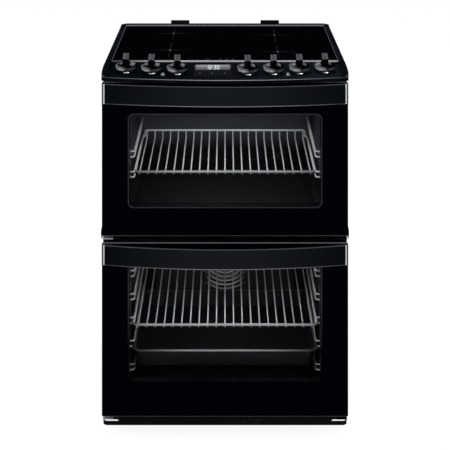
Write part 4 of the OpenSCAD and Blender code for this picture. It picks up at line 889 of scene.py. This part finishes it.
def dress():
    """Gives every CAD node its finish."""
    side = enamelled_sheet("side_enamel", linear(8, 9, 12), 0.42, 0.06)
    dark_steel = enamelled_sheet("frame_enamel", linear(5, 6, 9), 0.35, 0.03)
    strip_steel = strip_enamel_painted_shade()
    base_steel = enamelled_sheet("base_coating", linear(7, 8, 10), 0.5, 0.0)
    black_trim = moulded("black_trim", linear(4, 5, 7), 0.5, 0.02)
    zinc = galvanised()
    # Painted light and shade of the oven wires: the side racks are painted darker towards the back, the
    # lower ones a little darker overall, and the shelves' front wires darker than the rest.
    bright, painted_shade_grey = linear(206, 209, 213), linear(44, 46, 50)
    lower_racks = oven_wire("lower_rack_wire", linear(176, 179, 183), painted_shade_grey, (1, 0.05, 0.20))
    upper_racks = oven_wire("upper_rack_wire", bright, painted_shade_grey, (1, 0.0, 0.13))
    upper_wires = oven_wire("upper_shelf_wire", linear(150, 153, 157), bright, (1, -0.163, -0.150))
    lower_wires = oven_wire("lower_shelf_wire", linear(150, 153, 157), bright, (1, -0.2095, -0.196))
    tube = metal("element_tube", linear(92, 90, 88), 0.42)
    cast = metal("cast_alloy", linear(150, 152, 154), 0.45, 300.0)
    lens = lamp_lens()
    brackets = hinge_plate("bracket_plate", linear(120, 122, 125), linear(168, 171, 175))
    leaves = hinge_plate("leaf_plate", linear(40, 42, 45), linear(66, 68, 71))
    finishes = {
        "side_panel_left": side, "side_panel_right": side, "back_panel": zinc, "base_pan": base_steel,
        "plinth": black_trim, "top_rail": dark_steel, "mid_rail": black_trim, "rear_standoffs": black_trim,
        "terminal_box": moulded("terminal_box_black", linear(24, 25, 27), 0.55),
        "hob_frame": strip_steel, "hob_glass": ceramic_hob(), "hob_base": zinc, "power_unit": zinc,
        "induction_coils": metal("coil_wire", linear(176, 98, 46), 0.35, 1500.0),
        "control_panel": fascia_finish(), "display_window": display_finish(),
        "clock_module": moulded("circuit_green", linear(20, 74, 46), 0.5),
        "rotary_switches": moulded("switch_black", linear(34, 35, 38), 0.5),
        "knob_collars": collar_chrome(), "pilot_lamps": lens,
        # Painted light in the cavities: the upper oven's enamel is painted paler from a band of heights
        # upwards, fading to a quarter higher up, and the lower oven's is painted paler towards its top.
        "upper_oven": oven_enamel("upper_oven", linear(4, 6, 8), linear(66, 70, 76), (0.575, 0.615),
                                  (0.633, 0.680)),
        "lower_oven": oven_enamel("lower_oven", linear(2, 3, 4), linear(42, 45, 49), (0.142, 0.318)),
        "fan_cover": fan_cover_finish(),
        "upper_side_racks": upper_racks, "lower_side_racks": lower_racks, "upper_shelf": upper_wires,
        "lower_shelf": lower_wires,
        "baking_tray": tray_finish(),
        "grill_element": tube, "ring_element": tube, "fan_wheel": cast, "fan_motor": cast,
        "oven_lamps": lens, "insulation": mineral_wool(), "hinge_brackets": brackets,
        "upper_hinge_leaves": leaves, "lower_hinge_leaves": leaves,
        "upper_door_frame": dark_steel, "lower_door_frame": dark_steel,
        "upper_outer_glass": door_pane("upper_outer_glass", UPPER_WINDOW, (0.0, 0.1)),
        "lower_outer_glass": door_pane("lower_outer_glass", LOWER_WINDOW, (0.22, 0.34)),
        "upper_inner_glass": inner_pane("upper_inner_glass"),
        "lower_inner_glass": inner_pane("lower_inner_glass"),
        "upper_handle": handle_band("upper_handle"), "lower_handle": handle_band("lower_handle"),
    }
    foot = moulded("foot_black", linear(28, 29, 31), 0.5)
    button = moulded("button_black", linear(5, 6, 7), 0.4)
    for name, item in nodes.items():
        if name.startswith("levelling_foot"):
            finish = foot
        elif name.startswith("display_button"):
            finish = button
        elif name.startswith("knob_") and name != "knob_collars":
            finish = knob_metal(name)
        else:
            finish = finishes.get(name)
        if finish:
            item.data.materials.clear()
            item.data.materials.append(finish)


def build_pieces():
    """The pieces made here: seals, readout, the strip behind the hob and the back's screws."""
    rubber = moulded("seal_rubber", linear(26, 27, 29), 0.7, 0.2, 500.0)
    flange_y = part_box("upper_oven")[0].y
    for name in ("upper", "lower"):
        oven_low, oven_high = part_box(name + "_oven")
        low = Vector((oven_low.x + SEAL_REACH, flange_y - SEAL_DEPTH, oven_low.z + SEAL_REACH))
        high = Vector((oven_high.x - SEAL_REACH, flange_y, oven_high.z - SEAL_REACH))
        seal = bulb_seal(name + "_mouth_seal", low, high, SEAL_CORNER, flange_y, rubber)
        if name == "upper":
            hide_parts("door_seals")
    readout(readout_glow())
    rear_trim(trim_finish())
    back_low, back_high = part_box("back_panel")
    xs = np.linspace(back_low.x + SCREW_INSET, back_high.x - SCREW_INSET, SCREW_COLUMNS)
    places = [(x, back_high.y, z) for x in xs for z in (back_low.z + SCREW_INSET, back_high.z - SCREW_INSET)]
    plated = metal("zinc_plate", linear(186, 189, 193), 0.28)
    screw_heads("back_panel_screws", places, (0, 1, 0), SCREW_RADIUS, "cooker", plated)


# ---------- Room ----------

WORLD_LIGHT = 0.55
FLOOR_GLOW = 1.125
FLOOR_GLOW_SHARE = 0.8
FLOOR_HALF = 30.0


def seen_ray(net):
    """1 for rays from the camera, off gloss or through glass."""
    path = net.add("LightPath").outputs
    indirect = net.math("MAXIMUM", path["Is Glossy Ray"], path["Is Transmission Ray"])
    return net.math("MAXIMUM", path["Is Camera Ray"], indirect)


def white_room():
    """World and floor: plain white to the camera, to gloss and through glass."""
    world = bpy.data.worlds.new("studio")
    world.use_nodes = True
    world.node_tree.nodes.clear()
    net = Net(world.node_tree)
    strength = net.mix_value(seen_ray(net), WORLD_LIGHT, 1.0)
    back = net.add("Background", {"Color": (1, 1, 1, 1), "Strength": strength})
    out = net.add("OutputWorld")
    net.tree.links.new(back.outputs[0], out.inputs[0])
    bpy.context.scene.world = world

    points = FLOOR_HALF * np.array([[-1, -1, 0], [1, -1, 0], [1, 1, 0], [-1, 1, 0]], float)
    mesh = bpy.data.meshes.new("floor")
    mesh.from_pydata(points.tolist(), [], [[0, 1, 2, 3]])
    floor = bpy.data.objects.new("floor", mesh)
    bpy.context.scene.collection.objects.link(floor)
    material, net, shader = finish_of("pale_floor", Base_Color=(0.8, 0.8, 0.8, 1), Roughness=0.9,
                                      Specular_IOR_Level=0.0)
    surface = shader.outputs[0].links[0].to_socket
    glow = net.add("Emission", {"Color": (1, 1, 1, 1), "Strength": FLOOR_GLOW})
    both = net.add("MixShader", {0: net.math("MULTIPLY", seen_ray(net), FLOOR_GLOW_SHARE)})
    net.tree.links.new(shader.outputs[0], both.inputs[1])
    net.tree.links.new(glow.outputs[0], both.inputs[2])
    net.tree.links.new(both.outputs[0], surface)
    mesh.materials.append(material)


def soft_lamp(name, place, aim, size, power):
    """A square soft box facing its aim point."""
    data = bpy.data.lights.new(name, "AREA")
    data.size = size
    data.energy = power
    lamp = bpy.data.objects.new(name, data)
    lamp.location = place
    lamp.rotation_mode = "QUATERNION"
    lamp.rotation_quaternion = (Vector(aim) - Vector(place)).to_track_quat("-Z", "Y")
    bpy.context.scene.collection.objects.link(lamp)
    lamp.visible_camera = False


def light_room():
    soft_lamp("key_box", (-2.2, -2.6, 2.4), (0, 0, 0.5), 1.6, 70)
    soft_lamp("fill_box", (2.4, -2.4, 1.8), (0, 0, 0.5), 1.8, 50)
    soft_lamp("top_box", (0, 0.4, 3.0), (0, 0, 0.9), 1.6, 40)
    soft_lamp("upper_oven_light", (0, -0.03, 0.795), (0, -0.02, 0.6), 0.34, 0.9)
    soft_lamp("lower_oven_light", (0, -0.03, 0.445), (0, -0.02, 0.2), 0.34, 2.7)


place_camera()
dress()
build_pieces()
white_room()
light_room()
bpy.context.scene.view_settings.view_transform = "Standard"
